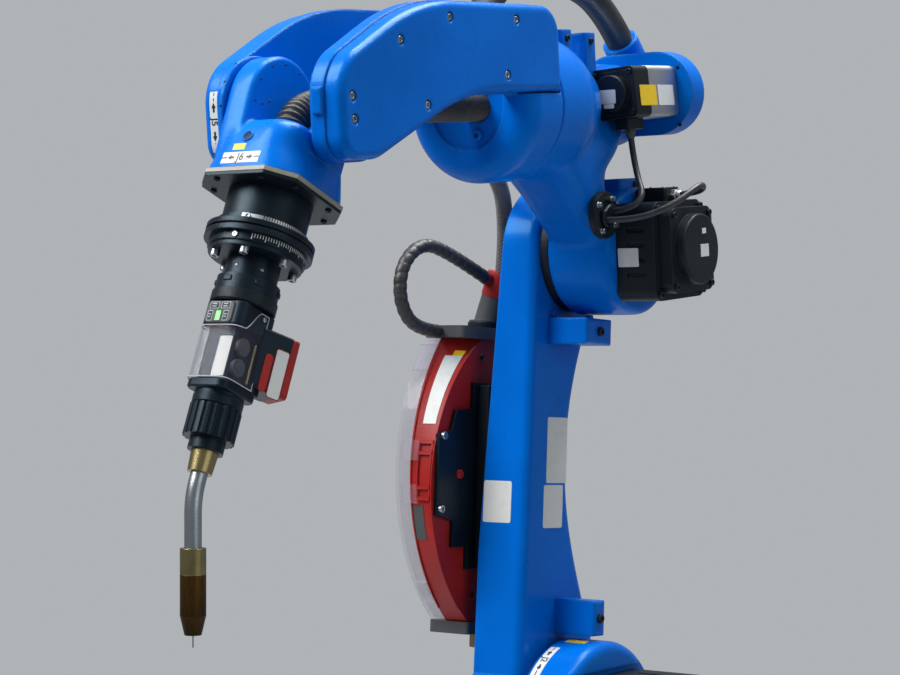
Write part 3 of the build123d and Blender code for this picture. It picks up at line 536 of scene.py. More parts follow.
def moulded(name, deep, bright, rough, grain, edge=0.0012, glint=(1.0, 1.0, 1.0)):
    """Moulded plastic: a fine spark-eroded grain, slight drift of tone, and dust in the hollows."""
    plastic = Finish(name, Specular_IOR_Level=0.26, Specular_Tint=glint)
    where = plastic.place()
    drift = plastic.noise(where, 16.0, 3.0)
    spark = plastic.noise(where, grain, 2.0)
    soft, worn = plastic.edges(edge)
    tone = plastic.blend(drift.clipped(0.3, 0.7), deep, bright)
    tone = plastic.blend(worn * 0.2, tone, tuple(min(1.0, 1.6 * part + 0.03) for part in bright))
    plastic.show(tone, rough + spark * 0.12 + drift * 0.06)
    plastic.relief(spark, 0.00012, soft)
    return plastic.material


def metal(name, deep, bright, rough, stretch, edge=0.0008):
    """Machined metal: fine tool marks stretched round the piece, with smudges that dull the polish."""
    bar = Finish(name, Metallic=1.0)
    marks = bar.noise(bar.place(stretch), 420.0, 2.0)
    smudge = bar.noise(bar.place(), 26.0, 4.0).clipped(0.4, 0.7)
    soft, worn = bar.edges(edge)
    tone = bar.blend(smudge, bright, deep)
    tone = bar.blend(worn * 0.35, tone, tuple(min(1.0, 1.3 * part) for part in bright))
    bar.show(tone, rough + marks * 0.14 + smudge * 0.1)
    bar.relief(marks, 0.00006, soft)
    return bar.material


def clear_sheet(name, tint, veil, rim):
    """Clear moulded sheet: see-through head on, milky and glossy where it turns away."""
    sheet = Finish(name, Base_Color=tint, Roughness=0.08, Specular_IOR_Level=0.5)
    facing = sheet.add("ShaderNodeLayerWeight", None, {"Blend": 0.45}, out="Facing")
    ripple = sheet.noise(sheet.place(), 30.0, 1.0)
    sheet.set(sheet.shader, {"Alpha": veil + (facing**2.2) * rim + ripple * 0.03})
    sheet.relief(ripple, 0.0006)
    return sheet.material


def sleeve(name, deep, bright, pitch, rough):
    """Braided sleeving: two sets of diagonal strands that pass over and under, from length and girth."""
    braid = Finish(name, Sheen_Weight=0.25, Sheen_Roughness=0.5)
    run = braid.add("ShaderNodeUVMap", {"uv_map": "run"})
    parts = braid.nodes.new("ShaderNodeSeparateXYZ")
    braid.set(parts, {0: run})
    length, girth = Value(braid, parts.outputs[0]), Value(braid, parts.outputs[1])
    one = ((length + girth) * (2 * pi / pitch)).math("SINE")
    two = ((length - girth) * (2 * pi / pitch)).math("SINE")
    strands = one.math("MAXIMUM", two) * 0.5 + 0.5
    dust = braid.noise(braid.place(), 34.0, 4.0)
    tone = braid.blend(strands, deep, bright)
    tone = braid.blend(dust.clipped(0.45, 0.75) * 0.35, tone, (0.16, 0.165, 0.17))
    braid.show(tone, rough + dust * 0.2)
    braid.relief(strands, 0.0007)
    return braid.material


def rubber(name, deep, bright, rough):
    """Rubber hose: matt skin with fine scuffs along it and a film of dust."""
    skin_of = Finish(name)
    where = skin_of.place()
    scuff = skin_of.noise(skin_of.place((1, 1, 6)), 60.0, 5.0, 0.6).clipped(0.5, 0.8)
    dust = skin_of.noise(where, 22.0, 4.0)
    fine = skin_of.noise(where, 900.0, 1.0)
    tone = skin_of.blend(dust.clipped(0.35, 0.75), deep, bright)
    tone = skin_of.blend(scuff * 0.3, tone, (0.14, 0.14, 0.145))
    skin_of.show(tone, rough + scuff * 0.2)
    skin_of.relief(fine, 0.00012)
    return skin_of.material


def label(name, face, stain):
    """A stuck-on foil label: even face with faint creases and handling marks."""
    foil = Finish(name, Specular_IOR_Level=0.4)
    where = foil.place()
    mark = foil.noise(where, 70.0, 4.0).clipped(0.5, 0.8)
    crease = foil.noise(where, 180.0, 2.0)
    foil.show(foil.blend(mark * 0.4, face, stain), 0.38 + mark * 0.2)
    foil.relief(crease, 0.00012)
    return foil.material


def glowing(name, colour, strength):
    """A lit display behind a dark window: bands of light along it."""
    lamp = Finish(name, Roughness=0.2, Emission_Strength=strength)
    band = lamp.noise(lamp.place((1, 1, 0.3)), 220.0, 1.0)
    light = lamp.blend(band, (0.0, 0.12, 0.0), colour)
    lamp.set(lamp.shader, {"Base Color": colour, "Emission Color": light})
    return lamp.material


def nozzle_copper():
    """Copper nozzle: lengthwise drawing marks, browned by heat, and blackened in spatter near its end."""
    cup = Finish("nozzle_copper", Metallic=1.0)
    streak = cup.noise(cup.place((14, 14, 1)), 60.0, 3.0)
    where = cup.place()
    heat = cup.noise(where, 55.0, 4.0)
    height = cup.add("ShaderNodeSeparateXYZ", None, {0: where}, out="Z")
    low, high = (corner[2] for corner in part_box("nozzle"))
    burnt = 1.0 - height.clipped(low, high)
    soft = cup.edges(0.0008)[0]
    tone = cup.blend(streak.clipped(0.3, 0.7), (0.060, 0.032, 0.009), (0.13, 0.068, 0.019))
    tone = cup.blend(heat.clipped(0.55, 0.8) * 0.6, tone, (0.045, 0.028, 0.016))
    tone = cup.blend(burnt * 0.8, tone, (0.018, 0.013, 0.009))
    cup.show(tone, 0.34 + heat * 0.2)
    cup.relief(streak * 0.5 + heat * 0.5, 0.0002, soft)
    return cup.material


blue_paint = painted(
    "blue_paint", (0.0, 0.105, 0.49), (0.0, 0.135, 0.61), 0.22, 620.0, 0.005, 0.05, (0.02, 0.62, 1.0)
)
motor_black = painted(
    "motor_black", (0.006, 0.009, 0.012), (0.013, 0.018, 0.023), 0.36, 900.0, 0.0015, 0.0, (0.8, 0.92, 1.0)
)
# The bluish specular tint of tool_black is a painted reflection of the blue arm around it.
tool_black = moulded(
    "tool_black", (0.003, 0.006, 0.011), (0.007, 0.012, 0.019), 0.24, 1500.0, glint=(0.55, 0.8, 1.0)
)
red_plastic = moulded("red_plastic", (0.26, 0.010, 0.010), (0.36, 0.016, 0.013), 0.3, 1300.0)
grey_plastic = moulded("grey_plastic", (0.42, 0.44, 0.46), (0.55, 0.57, 0.59), 0.35, 1200.0)
cap_grey = moulded("cap_grey", (0.045, 0.05, 0.055), (0.075, 0.08, 0.086), 0.42, 1200.0)
steel = metal("steel", (0.26, 0.30, 0.33), (0.42, 0.46, 0.50), 0.2, (1, 1, 12))
silver = metal("silver", (0.42, 0.44, 0.46), (0.62, 0.64, 0.66), 0.3, (18, 1, 1))
brass = metal("brass", (0.20, 0.165, 0.075), (0.36, 0.30, 0.14), 0.2, (1, 1, 10))
copper = nozzle_copper()
clear_plastic = clear_sheet("clear_plastic", (0.50, 0.47, 0.58), 0.10, 0.5)
smoked_clear = clear_sheet("smoked_clear", (0.16, 0.16, 0.24), 0.05, 0.32)
hose_sleeve = sleeve("hose_sleeve", (0.012, 0.013, 0.014), (0.07, 0.074, 0.078), 0.006, 0.55)
rubber_hose = rubber("rubber_hose", (0.014, 0.015, 0.016), (0.034, 0.035, 0.037), 0.42)
label_white = label("label_white", (0.62, 0.64, 0.63), (0.46, 0.47, 0.45))
label_yellow = label("label_yellow", (0.72, 0.50, 0.015), (0.50, 0.34, 0.015))
label_ink = label("label_ink", (0.012, 0.012, 0.013), (0.03, 0.03, 0.03))
gasket_tan = label("gasket_tan", (0.25, 0.235, 0.185), (0.14, 0.13, 0.10))
# Pale finish for thin tubes along the clear cover's edges: a painted highlight.
painted_edge_highlight = label("painted_edge_highlight", (0.42, 0.43, 0.50), (0.30, 0.31, 0.36))
key_line = label("key_line", (0.40, 0.47, 0.49), (0.26, 0.31, 0.33))
display_green = glowing("display_green", (0.05, 0.85, 0.06), 1.2)


# Solids: each takes the finish of its slot, or a nearer one

FINISH_OF_SLOT = {
    "blue_paint": blue_paint,
    "motor_black": motor_black,
    "tool_black": tool_black,
    "steel": steel,
    "red_plastic": red_plastic,
    "clear_plastic": clear_plastic,
    "grey_plastic": grey_plastic,
    "brass": brass,
    "copper": copper,
    "hose_sleeve": hose_sleeve,
    "rubber_hose": rubber_hose,
}
FINISH_OF_NODE = dict.fromkeys(("buffer_head_cap", "buffer_foot_cap", "buffer_connector"), cap_grey)
FINISH_OF_NODE["j3_reducer"] = motor_black
for part in frame["record"]["subparts"]:
    surfaces = frame["nodes"][part["node"]].data.materials
    surfaces.clear()
    surfaces.append(FINISH_OF_NODE.get(part["node"], FINISH_OF_SLOT[part["material_slot"]]))


# Hoses and leads, on the routes of their solids

HOSEPACK, LOOP, UMBILICAL, CONDUIT, LEAD = 0.022, 0.018, 0.036, 0.036, 0.008
BUFFER_TOP = 0.524
WRAP_PITCH, WRAP_DEPTH = 0.013, 0.0012
RING_PITCH, RING_DEPTH = 0.0056, 0.0016


def cord(name, route, diameter, across, finish, node, length, body=None, stiffness="stiff", **form):
    """A hose on the smooth line of its route, held at both ends by the robot."""
    line = smooth_line(route)
    made = piece(name, hose(line, diameter / 2, across, **form), finish, sharp=60.0, stands_for=(node,))
    if body:
        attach(made, body)
    return made


def wraps(along, angle):
    """Tape wound round a hose: the root of a sine along it, which a full turn shifts by one wrap."""
    return WRAP_DEPTH * np.abs(np.sin(pi * along / WRAP_PITCH - angle / 2)) ** 0.5 - WRAP_DEPTH


def rings(along, angle):
    """The rings of a corrugated hose: a cosine along it, the same all round."""
    return RING_DEPTH * np.cos(2 * pi * along / RING_PITCH) - RING_DEPTH + 0 * angle


foot = lower_arm.place(((0.014, -0.1549, 0.6142), (0.030, -0.1400, 0.6800)))
head = elbow.place(((0.104, -0.0980, 0.1120), (0.168, -0.0927, 0.1365)))
hosepack = cord(
    "torch_hosepack_sleeved", (*foot, *head), HOSEPACK, LEFT, hose_sleeve, "torch_hosepack", 0.250,
)
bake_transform(hosepack)

loop_shape = np.array((
    (0.116, -0.188, 0.008), (0.166, -0.189, 0.008), (0.199, -0.190, 0.040), (0.199, -0.190, 0.086),
    (0.166, -0.187, 0.118), (0.120, -0.182, 0.118), (0.041, -0.166, 0.084),
))
cord(
    "buffer_loop_wrapped", lower_arm.place(loop_shape + (0, 0, BUFFER_TOP)), LOOP, LEFT, rubber_hose,
    "buffer_loop_hose", 0.3105, "lower_arm", step=0.0011, sides=40, swell=wraps,
)

route = elbow.place((
    (-0.054, 0, 0.274), (-0.012, 0, 0.322), (0.080, 0, 0.352), (0.190, 0, 0.350), (0.242, 0, 0.333),
    (0.272, 0, 0.299),
))
umbilical = cord(
    "forearm_umbilical_hose", route, UMBILICAL, LEFT, rubber_hose, "forearm_umbilical", 0.365,
)
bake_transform(umbilical)

route = forearm.place((
    (0.306, 0.013, 0), (0.550, 0.014, 0), (0.640, 0.017, 0.006), (0.683, 0.018, -0.026),
    (0.6763, 0.013, -0.0713),
))
conduit = cord(
    "torch_conduit_ringed", route, CONDUIT, LEFT, rubber_hose, "torch_conduit", 0.425,
    step=0.0007, sides=48, swell=rings,
)
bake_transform(conduit)

route = elbow.place((
    (0.088, 0.057, 0.054), (0.086, 0.112, 0.056), (0.044, 0.0704, 0.1112), (0.044, 0.0672, 0.1561),
))
cord(
    "j4_motor_lead_cable", route, LEAD, FORWARD, rubber_hose, "j4_motor_lead", 0.1486, "elbow", "medium",
    step=0.002, sides=20,
)
route = elbow.place((
    (0.104, 0.057, 0.044), (0.104, 0.104, 0.042), (0.086, 0.152, 0.060), (0.042, 0.168, 0.086),
    (0.002, 0.146, 0.072), (0, 0.104, 0.070),
))
cord(
    "j3_motor_lead_cable", route, LEAD, UP, rubber_hose, "j3_motor_lead", 0.230, "elbow", "medium",
    step=0.002, sides=20,
)


# Forearm: screws in the cover's counterbores, the pad and turn strip at the fork's tips

FORK_INNER, FORK_WALL, COVER, COVER_BORE_DEPTH = 0.055, 0.018, 0.023, 0.004
SCREW_SEAT = FORK_INNER + FORK_WALL + COVER - COVER_BORE_DEPTH
BRANCH_ROOT, FOREARM_LENGTH, BRANCH_HEIGHT = 0.2433, 0.640, 0.116
TIP_X, STRIP_Y = 0.6827, -0.0795
TIP_ROUND, TIP_Z, HEEL_ROUND, HEEL_Z = 0.056, 0.0075, 0.027, -0.031
STICKER, TAG, INK_LIFT = 0.0003, 0.0004, 0.0002

screw_shares = np.array((
    (0.583, 0.83), (0.243, 0.83), (0.823, 0.60), (0.302, 0.28), (0.710, -0.01), (1.053, 0.08), (1.048, -0.13),
))
screw_x = BRANCH_ROOT + screw_shares[:, 0] * (FOREARM_LENGTH - BRANCH_ROOT)
screw_z = screw_shares[:, 1] * BRANCH_HEIGHT
for side, name in ((1, "left"), (-1, "right")):
    seats = np.stack((screw_x, np.full(len(screw_x), side * SCREW_SEAT), screw_z), axis=-1)
    screws = cluster(socket_screw(0.0042, 0.0034), seats, side * LEFT)
    piece(f"{name}_cover_screws", screws, steel, forearm)

tip_pad = plate(0.014, 0.030, 0.004, 0.002, 0.0015).at((TIP_X - 0.0002, 0.066, 0.006), LEFT, FORWARD)
piece("fork_tip_pad", tip_pad, blue_paint, forearm)
seats = circle((200, 320, 440), 0.036, (0.307, 0, 0), UP, -LEFT)
piece("drum_bolts", cluster(socket_screw(0.0065, 0.006), seats, FORWARD), blue_paint, forearm)


def turn_strip(name, words, line, width, across, link, pitch, height, thickness=STICKER):
    """A joint's turn strip: a white ribbon on a line, with the joint's number and arrows laid on it."""
    piece(f"{name}_strip", ribbon(line, width, thickness, across), label_white, link)
    marks = wrapped(axis_marks(words, pitch, height), line, across, thickness + INK_LIFT)
    piece(f"{name}_strip_marks", marks, label_ink, link)


STRIP_X = TIP_X - 0.002
tip_arc = circle(np.linspace(17, 0, 8), TIP_ROUND, (STRIP_X - TIP_ROUND, STRIP_Y, TIP_Z))
heel_arc = circle(np.linspace(0, -24, 10), HEEL_ROUND, (STRIP_X - HEEL_ROUND, STRIP_Y, HEEL_Z))
turn_strip("j5", "J5", np.concatenate((tip_arc, heel_arc)), 0.0115, LEFT, forearm, 0.0105, 0.0062)


# Wrist: domed cheek and bell-shaped house, with its strip, plug, gasket and screws

PLATE_TOP, PLATE_THICK = -0.100, 0.008
PLATE_LENGTH, PLATE_WIDTH, PLATE_CUT = 0.132, 0.130, 0.026
DOME_FACE = -0.0146
HOUSE = np.array((
    (-0.1000, 0.0655, 0.0660, 0.0645, 0.043), (-0.0920, 0.0648, 0.0665, 0.0613, 0.041),
    (-0.0840, 0.0638, 0.0670, 0.0578, 0.038), (-0.0760, 0.0626, 0.0670, 0.0540, 0.035),
    (-0.0680, 0.0612, 0.0665, 0.0508, 0.032), (-0.0600, 0.0595, 0.0640, 0.0493, 0.030),
    (-0.0520, 0.0574, 0.0600, 0.0490, 0.029), (-0.0450, 0.0548, 0.0555, 0.0484, 0.028),
    (-0.0395, 0.0512, 0.0510, 0.0468, 0.027), (-0.0355, 0.0465, 0.0465, 0.0435, 0.025),
    (-0.0330, 0.0410, 0.0420, 0.0390, 0.022), (-0.0315, 0.0330, 0.0350, 0.0320, 0.018),
    (-0.0305, 0.0220, 0.0240, 0.0200, 0.012),
))


def house_ring(level, ahead, behind, aside, corner):
    """The gear house at a level: a rounded rectangle with its reach ahead of, behind and beside the axis."""
    return raised(rounded(ahead + behind, 2 * aside, corner, 14) + ((ahead - behind) / 2, 0), level)


def cheek(radius, foot, drop, insets):
    """A cheek across Y: half a circle above, and sides that spread to a foot, drawn in by each Y's inset."""
    swing = np.linspace(0, pi, 49)
    rims = []
    for y, inset in insets:
        reach = radius - inset
        arch = np.stack((reach * np.cos(swing), reach * np.sin(swing)), -1)
        outline = np.concatenate((arch, ((inset - foot, -drop), (foot - inset, -drop))))
        rims.append(np.insert(outline, 1, y, axis=1)[::-1])
    return skin(rims)


def eased(first, last, first_edge, last_edge, steps=7):
    """Distances across a piece with the inset at each: a quarter circle at both ends, of the given radii."""
    quarter = np.linspace(0, pi / 2, steps)
    start = [(first + first_edge * (1 - sin(q)), first_edge * (1 - cos(q))) for q in quarter[::-1]]
    end = [(last - last_edge * (1 - sin(q)), last_edge * (1 - cos(q))) for q in quarter]
    return start + end


casting = joined([
    skin([house_ring(*level) for level in HOUSE]),
    cheek(0.0585, 0.0560, 0.080, eased(-0.0485, -0.0145, 0.009, 0.0055)),
    cheek(0.0320, 0.0300, 0.060, eased(0.0435, 0.0500, 0.0015, 0.0015, 4)).at((-0.014, 0, 0)),
    disc(0.028, 0.0052).at((-0.004, 0.0495, 0), FORWARD, LEFT),
    disc(0.046, 0.0065).at((0, -0.0547, 0), FORWARD, LEFT),
])
piece("wrist_body", casting, blue_paint, wrist, stands_for=("wrist_casting",))
flange = ring(0.0612, 0.0515, 0.0050, 72, 0.0010)
piece("j5_flange", flange.at((0, -0.0549, 0), FORWARD, LEFT), blue_paint, fork_tip)
outwards = circle(np.arange(-20, 210, 26), 1.0, (0, 0, 0))
pins = [pan_screw(0.0017, 0.0007).at(0.0611 * out + (0, -0.0527, 0), LEFT, out) for out in outwards]
piece("j5_flange_pins", joined(pins), motor_black, fork_tip)
seats = circle((-14, 16, 45, 72, 100, 128, 158, 190), 0.0495, (0, DOME_FACE, 0))
seats = (*seats, (0.026, DOME_FACE, -0.002), (0.036, DOME_FACE, -0.010))
piece("dome_pins", cluster(pan_screw(0.0015, 0.0005), seats, LEFT), motor_black, wrist)
piece("conduit_entry", ring(0.0225, 0.0184, 0.012, 48, 0.0012).at((0, 0.013, -0.040)), blue_paint, wrist)


def house_line(level, first, last, count=24):
    """Points round the gear house's front at a level, from one Y to another, and the slope up its face."""
    ahead, aside, corner = (np.interp(level, HOUSE[:, 0], HOUSE[:, k]) for k in (1, 3, 4))
    y = np.linspace(first, last, count)
    past = np.clip(np.abs(y) - (aside - corner), 0, corner)
    x = ahead - corner + np.sqrt(corner**2 - past**2)
    near = 0.004
    below, above = np.interp((level - near, level + near), HOUSE[:, 0], HOUSE[:, 1])
    return np.stack((x, y, np.full(count, level)), -1), unit(np.array((above - below, 0, 2 * near)))


line, up_face = house_line(-0.0880, -0.0235, 0.0265)
turn_strip("j6", "J6", line, 0.0135, up_face, wrist, 0.0084, 0.0066)
line, up_face = house_line(-0.0745, -0.0135, 0.0025, 8)
piece("wrist_tag", ribbon(line, 0.0080, STICKER, up_face), label_yellow, wrist)
line, up_face = house_line(-0.0610, -0.0040, 0.0040, 3)
out = np.cross(LEFT, up_face)
rim = ring(0.0072, 0.0046, 0.0018, 40, 0.0006).at(line[1] - 0.0004 * out, LEFT, out)
piece("wrist_plug_rim", rim, blue_paint, wrist)
piece("wrist_plug", socket_screw(0.0045, 0.0008).at(line[1] - 0.0002 * out, LEFT, out), motor_black, wrist)


def gasket_ring(out, level):
    """The plate's outline at a level: a rectangle, larger by out all round, with its corners cut off."""
    x, y = PLATE_LENGTH / 2 + out, PLATE_WIDTH / 2 + out
    quarter = np.array(((x, y - PLATE_CUT), (x - PLATE_CUT, y)))
    outline = np.concatenate([(quarter * sign)[:: sign[0] * sign[1]] for sign in SQUARE])
    return raised(outline, PLATE_TOP + level)


seam = ((0.0, -0.0046), (0.0008, -0.0042), (0.0008, 0.0003), (0.0, 0.0007))
piece("wrist_gasket", skin([gasket_ring(*step) for step in seam]), gasket_tan, wrist)
signs = np.array([(a, b, 1) for a in (1, -1) for b in (1, -1)])
reaches = ((0.057, 0.030), (0.030, 0.056))
seats = np.concatenate([signs * (x, y, PLATE_TOP - PLATE_THICK) for x, y in reaches])
piece("wrist_plate_screws", cluster(socket_screw(0.0034, 0.0022), seats, -UP), motor_black, wrist)


# Torch: scale rings and bolts of the crash box, the core under its clear cover, keys, and drive box plates

TOOL_TOP = -0.1083
STEPS_DOWN = (0.036, 0.008, 0.014, 0.009, 0.005, 0.025, 0.030, 0.096)
levels = TOOL_TOP - np.cumsum(STEPS_DOWN)
scale_top, disc_top, lower_top, _, collar_top, head_top, body_top, foot_top = levels
SCALE_R, LOWER_R, COLLAR_R, HEAD_R = 0.050, 0.053, 0.0289, 0.034
BAND_EDGE, MARK_EDGE = 0.0008, 0.001
BODY_X, BODY_Y, BODY_CORNER = 0.060, 0.056, 0.012
CORE_TOP, CORE_FOOT, CORE_SINK = body_top - 0.027, foot_top + 0.010, 0.002
CORE_FRONT, CORE_NEAR = 0.021, 0.020
COVER_BACK, COVER_FLARE, COVER_HIGHLIGHT_LINE = -0.013, 0.02, 0.0006
TAB_FOOT, TAB_RUN, TAB_RISE = 0.020, 0.022, 0.0245
PANEL_UP, KEY_UP, KEY_SINK = 0.0021, 0.0009, 0.0001


def radial(shape, radius, angle, level):
    """A small part set on a round body, facing outwards at an angle in degrees."""
    out = np.array((cos(radians(angle)), sin(radians(angle)), 0))
    return shape.at(radius * out + (0, 0, level), UP, out)


def scale_marks(radius, top, height, first, last, count):
    """Marks round a scale ring: a short bar at each step, and a longer one at every fifth."""
    marks = []
    for step, angle in enumerate(np.radians(np.linspace(first, last, count))):
        out = np.array((cos(angle), sin(angle), 0))
        tall = height if step % 5 == 0 else 0.66 * height
        marks.append(bar(0.0010, tall).at(radius * out + (0, 0, top - tall / 2), np.cross(UP, out), out))
    return joined(marks)


middle = (0, 0, (disc_top + scale_top) / 2)
line = circle(np.linspace(12, 168, 60), SCALE_R, middle, FORWARD, LEFT)
piece("scale_band", ribbon(line, scale_top - disc_top - 2 * BAND_EDGE, STICKER, UP), silver, tool, "steel")
marks = scale_marks(SCALE_R + STICKER + INK_LIFT, scale_top - MARK_EDGE, 0.0055, 40.0, 160.0, 37)
piece("scale_band_marks", marks, label_ink, tool)
marks = scale_marks(LOWER_R + INK_LIFT, lower_top - MARK_EDGE, 0.0065, 32.0, 160.0, 41)
piece("lower_ring_marks", marks, label_white, tool)
index_screws = joined([
    radial(socket_screw(0.0034, 0.0022), SCALE_R, 20, scale_top - 0.004),
    radial(socket_screw(0.0032, 0.0018), LOWER_R, 12, lower_top - 0.0045),
    radial(socket_screw(0.0032, 0.0018), LOWER_R, 192, lower_top - 0.0045),
])
piece("index_screws", index_screws, steel, tool)
seats = circle(np.arange(24, 384, 60), 0.0435, (0, 0, collar_top), FORWARD, LEFT)
piece("lip_bolts", cluster(socket_screw(0.0050, 0.0075), seats, -UP), steel, tool)
pins = [radial(pan_screw(0.0022, 0.0010), COLLAR_R, turn, collar_top - 0.015) for turn in (5, 62, 185, 242)]
piece("collar_pins", joined(pins), steel, tool)
head_band = ring(HEAD_R + 0.0016, HEAD_R - 0.001, 0.012).at((0, 0, body_top + 0.001))
piece("head_band", head_band, motor_black, tool)
key = plate(0.006, 0.010, 0.0018, 0.0015)
keys = [radial(key, HEAD_R - 0.0006, turn, head_top - 0.0065) for turn in range(0, 360, 60)]
piece("head_keys", joined(keys), tool_black, tool)

web = CORE_TOP - CORE_FOOT + 2 * CORE_SINK
foot_ring = ((0.0250, 0), (0.0268, 0.0015), (0.0270, 0.0100), (0.0262, 0.0110), (0.0262, 0.0155))
core = joined([
    block(BODY_X, BODY_Y, body_top - CORE_TOP, BODY_CORNER, 0.0015).at((0, 0, CORE_TOP)),
    block(0.016, BODY_Y, web, 0.006, 0.001).at((-0.022, 0, CORE_FOOT - CORE_SINK)),
    block(0.040, 0.040, web, 0.004, 0.001).at((0.001, 0, CORE_FOOT - CORE_SINK)),
    block(BODY_X - 0.001, BODY_Y - 0.001, CORE_FOOT - foot_top, BODY_CORNER, 0.0015).at((0, 0, foot_top)),
    turned(foot_ring, 56).at((0, 0, foot_top - 0.0150)),
])
piece("torch_core", core, tool_black, tool, stands_for=("torch_body",))
wire_card = plate(0.017, 0.044, TAG, 0.001).at((CORE_FRONT, 0.008, -0.2945), LEFT, FORWARD)
piece("wire_card", wire_card, label_white, tool)
roller = turned((
    (0.0095, 0), (0.0095, 0.0012), (0.0085, 0.0022), (0.0095, 0.0032), (0.0095, 0.0044), (0.0045, 0.0048),
    (0.0045, 0.0056), (0.0015, 0.0058),
))
rollers = cluster(roller, [(0.009, CORE_NEAR, z) for z in (-0.281, -0.304)], LEFT)
piece("drive_rollers", rollers, cap_grey, tool, "steel")
guide = hose(np.array(((-0.009, 0.0225, -0.272), (-0.0095, 0.0225, -0.315))), 0.0024, FORWARD, 0.002, 16)
piece("wire_guide", guide, brass, tool)


def cover_walk(inset):
    """Half of a rounded rectangle seen from above, from the near side round the front to the far side."""
    quarter = np.linspace(0, pi / 2, 8)
    x, y, r = BODY_X / 2 - BODY_CORNER, BODY_Y / 2 - BODY_CORNER, BODY_CORNER - inset
    near = np.stack((np.linspace(COVER_BACK, x, 14), np.full(14, y + r)), -1)
    near_corner = np.stack((x + r * np.sin(quarter), y + r * np.cos(quarter)), -1)[1:]
    front = np.stack((np.full(8, x + r), np.linspace(y, -y, 8)), -1)[1:]
    far_corner = np.stack((x + r * np.cos(quarter), -y - r * np.sin(quarter)), -1)[1:]
    far = np.stack((np.linspace(x, COVER_BACK, 8), np.full(8, -y - r)), -1)[1:]
    return np.concatenate((near, near_corner, front, far_corner, far))


def cover_wall(inset):
    """The clear cover's wall: the walk at heights from a top edge that climbs to a tab, to a flared foot."""
    walk = cover_walk(inset)
    climb = np.clip((TAB_FOOT - walk[:, 0]) / TAB_RUN, 0, 1) * (walk[:, 1] > 0)
    top = CORE_TOP - 0.0012 + TAB_RISE * climb**2 * (3 - 2 * climb)
    share = np.array((0.0, 0.03, 0.5, 0.95, 1.0))[:, None]
    level = top * (1 - share) + (CORE_FOOT + 0.0004) * share
    swell = 1 + COVER_FLARE * np.array((0, 0, 0, 0.2, 1.0))[:, None]
    grid = np.broadcast_to(walk, (5, *walk.shape)) * swell[..., None]
    return np.concatenate((grid, level[..., None]), axis=-1)


outside, inside = cover_wall(-0.0002), cover_wall(0.0012)
piece("torch_clear_cover", shell(outside[:, ::-1], inside[:, ::-1]), smoked_clear, tool, "clear_plastic")
# Pale tubes along the clear cover's four edges: a painted highlight on its edges.
edges = ((outside[0], UP), (outside[-1], UP), (outside[:, 0], LEFT), (outside[:, -1], LEFT))
rim = joined([hose(edge, COVER_HIGHLIGHT_LINE, across, 0.0015, 10) for edge, across in edges])
piece("torch_cover_painted_highlight", rim, painted_edge_highlight, tool, "clear_plastic")
tab_screw = pan_screw(0.003, 0.0012).at((-0.007, BODY_Y / 2 + 0.0002, body_top - 0.008), FORWARD, LEFT)
piece("cover_tab_screw", tab_screw, steel, tool)

panel_at = np.array((BODY_X / 2 - 0.0003, -0.0015, body_top - 0.0140))


def on_panel(shape, y, z, lift=-KEY_SINK):
    """A flat part on the key panel's face: its place from the panel's middle, and its lift off the face."""
    return shape.at(panel_at + (PANEL_UP + lift, y, z), LEFT, FORWARD)


panel = on_panel(plate(0.036, 0.0245, PANEL_UP, 0.005), 0, 0, -PANEL_UP)
piece("key_panel", panel, cap_grey, tool, "tool_black")
KEYS = (
    (-0.0075, 0.0068, 0.0125, 0.0075), (0.0075, 0.0068, 0.0125, 0.0075),
    (-0.0112, -0.0048, 0.0072, 0.0115), (0.0100, -0.0048, 0.0072, 0.0115),
)
frames, faces, signs = [], [], []
for y, z, width, height in KEYS:
    frames.append(on_panel(plate(width, height, 0.0006, 0.0012), y, z))
    faces.append(on_panel(plate(width - 0.0013, height - 0.0013, KEY_UP, 0.0008), y, z))
    for rise in (0.0014, -0.0014):
        signs.append(on_panel(bar(0.45 * width, 0.0009), y, z + rise, KEY_UP + INK_LIFT))
piece("key_frames", joined(frames), key_line, tool)
piece("key_faces", joined(faces), motor_black, tool, "tool_black")
piece("key_signs", joined(signs), key_line, tool)
window = on_panel(plate(0.0100, 0.0140, 0.0006, 0.001), -0.0006, -0.0042)
piece("display_window", window, label_ink, tool)
lit = on_panel(plate(0.0060, 0.0105, 0.0005, 0.0008), 0, -0.0048, 0.0003)
piece("display_light", lit, display_green, tool)

DRIVE_TURN, DRIVE_SIDE = radians(22.0), 0.022
side = np.array((sin(DRIVE_TURN), cos(DRIVE_TURN), 0))
back = np.array((-cos(DRIVE_TURN), sin(DRIVE_TURN), 0))
for name, width, height, thickness, corner, reach, level, finish in (
    ("drive_badge", 0.0095, 0.042, 0.0008, 0.0046, 0.0335, -0.2965, red_plastic),
    ("drive_card_edge", 0.0165, 0.054, 0.0005, 0.003, 0.0482, -0.2935, red_plastic),
    ("drive_card", 0.0148, 0.0523, 0.0007, 0.0024, 0.0482, -0.2935, label_white),
):
    spot = side * DRIVE_SIDE + back * reach + (0, 0, level)
    piece(name, plate(width, height, thickness, corner).at(spot, back, side), finish, tool)


# Elbow: cast body, motor frames, plates and screws, the cable entry and the gear case

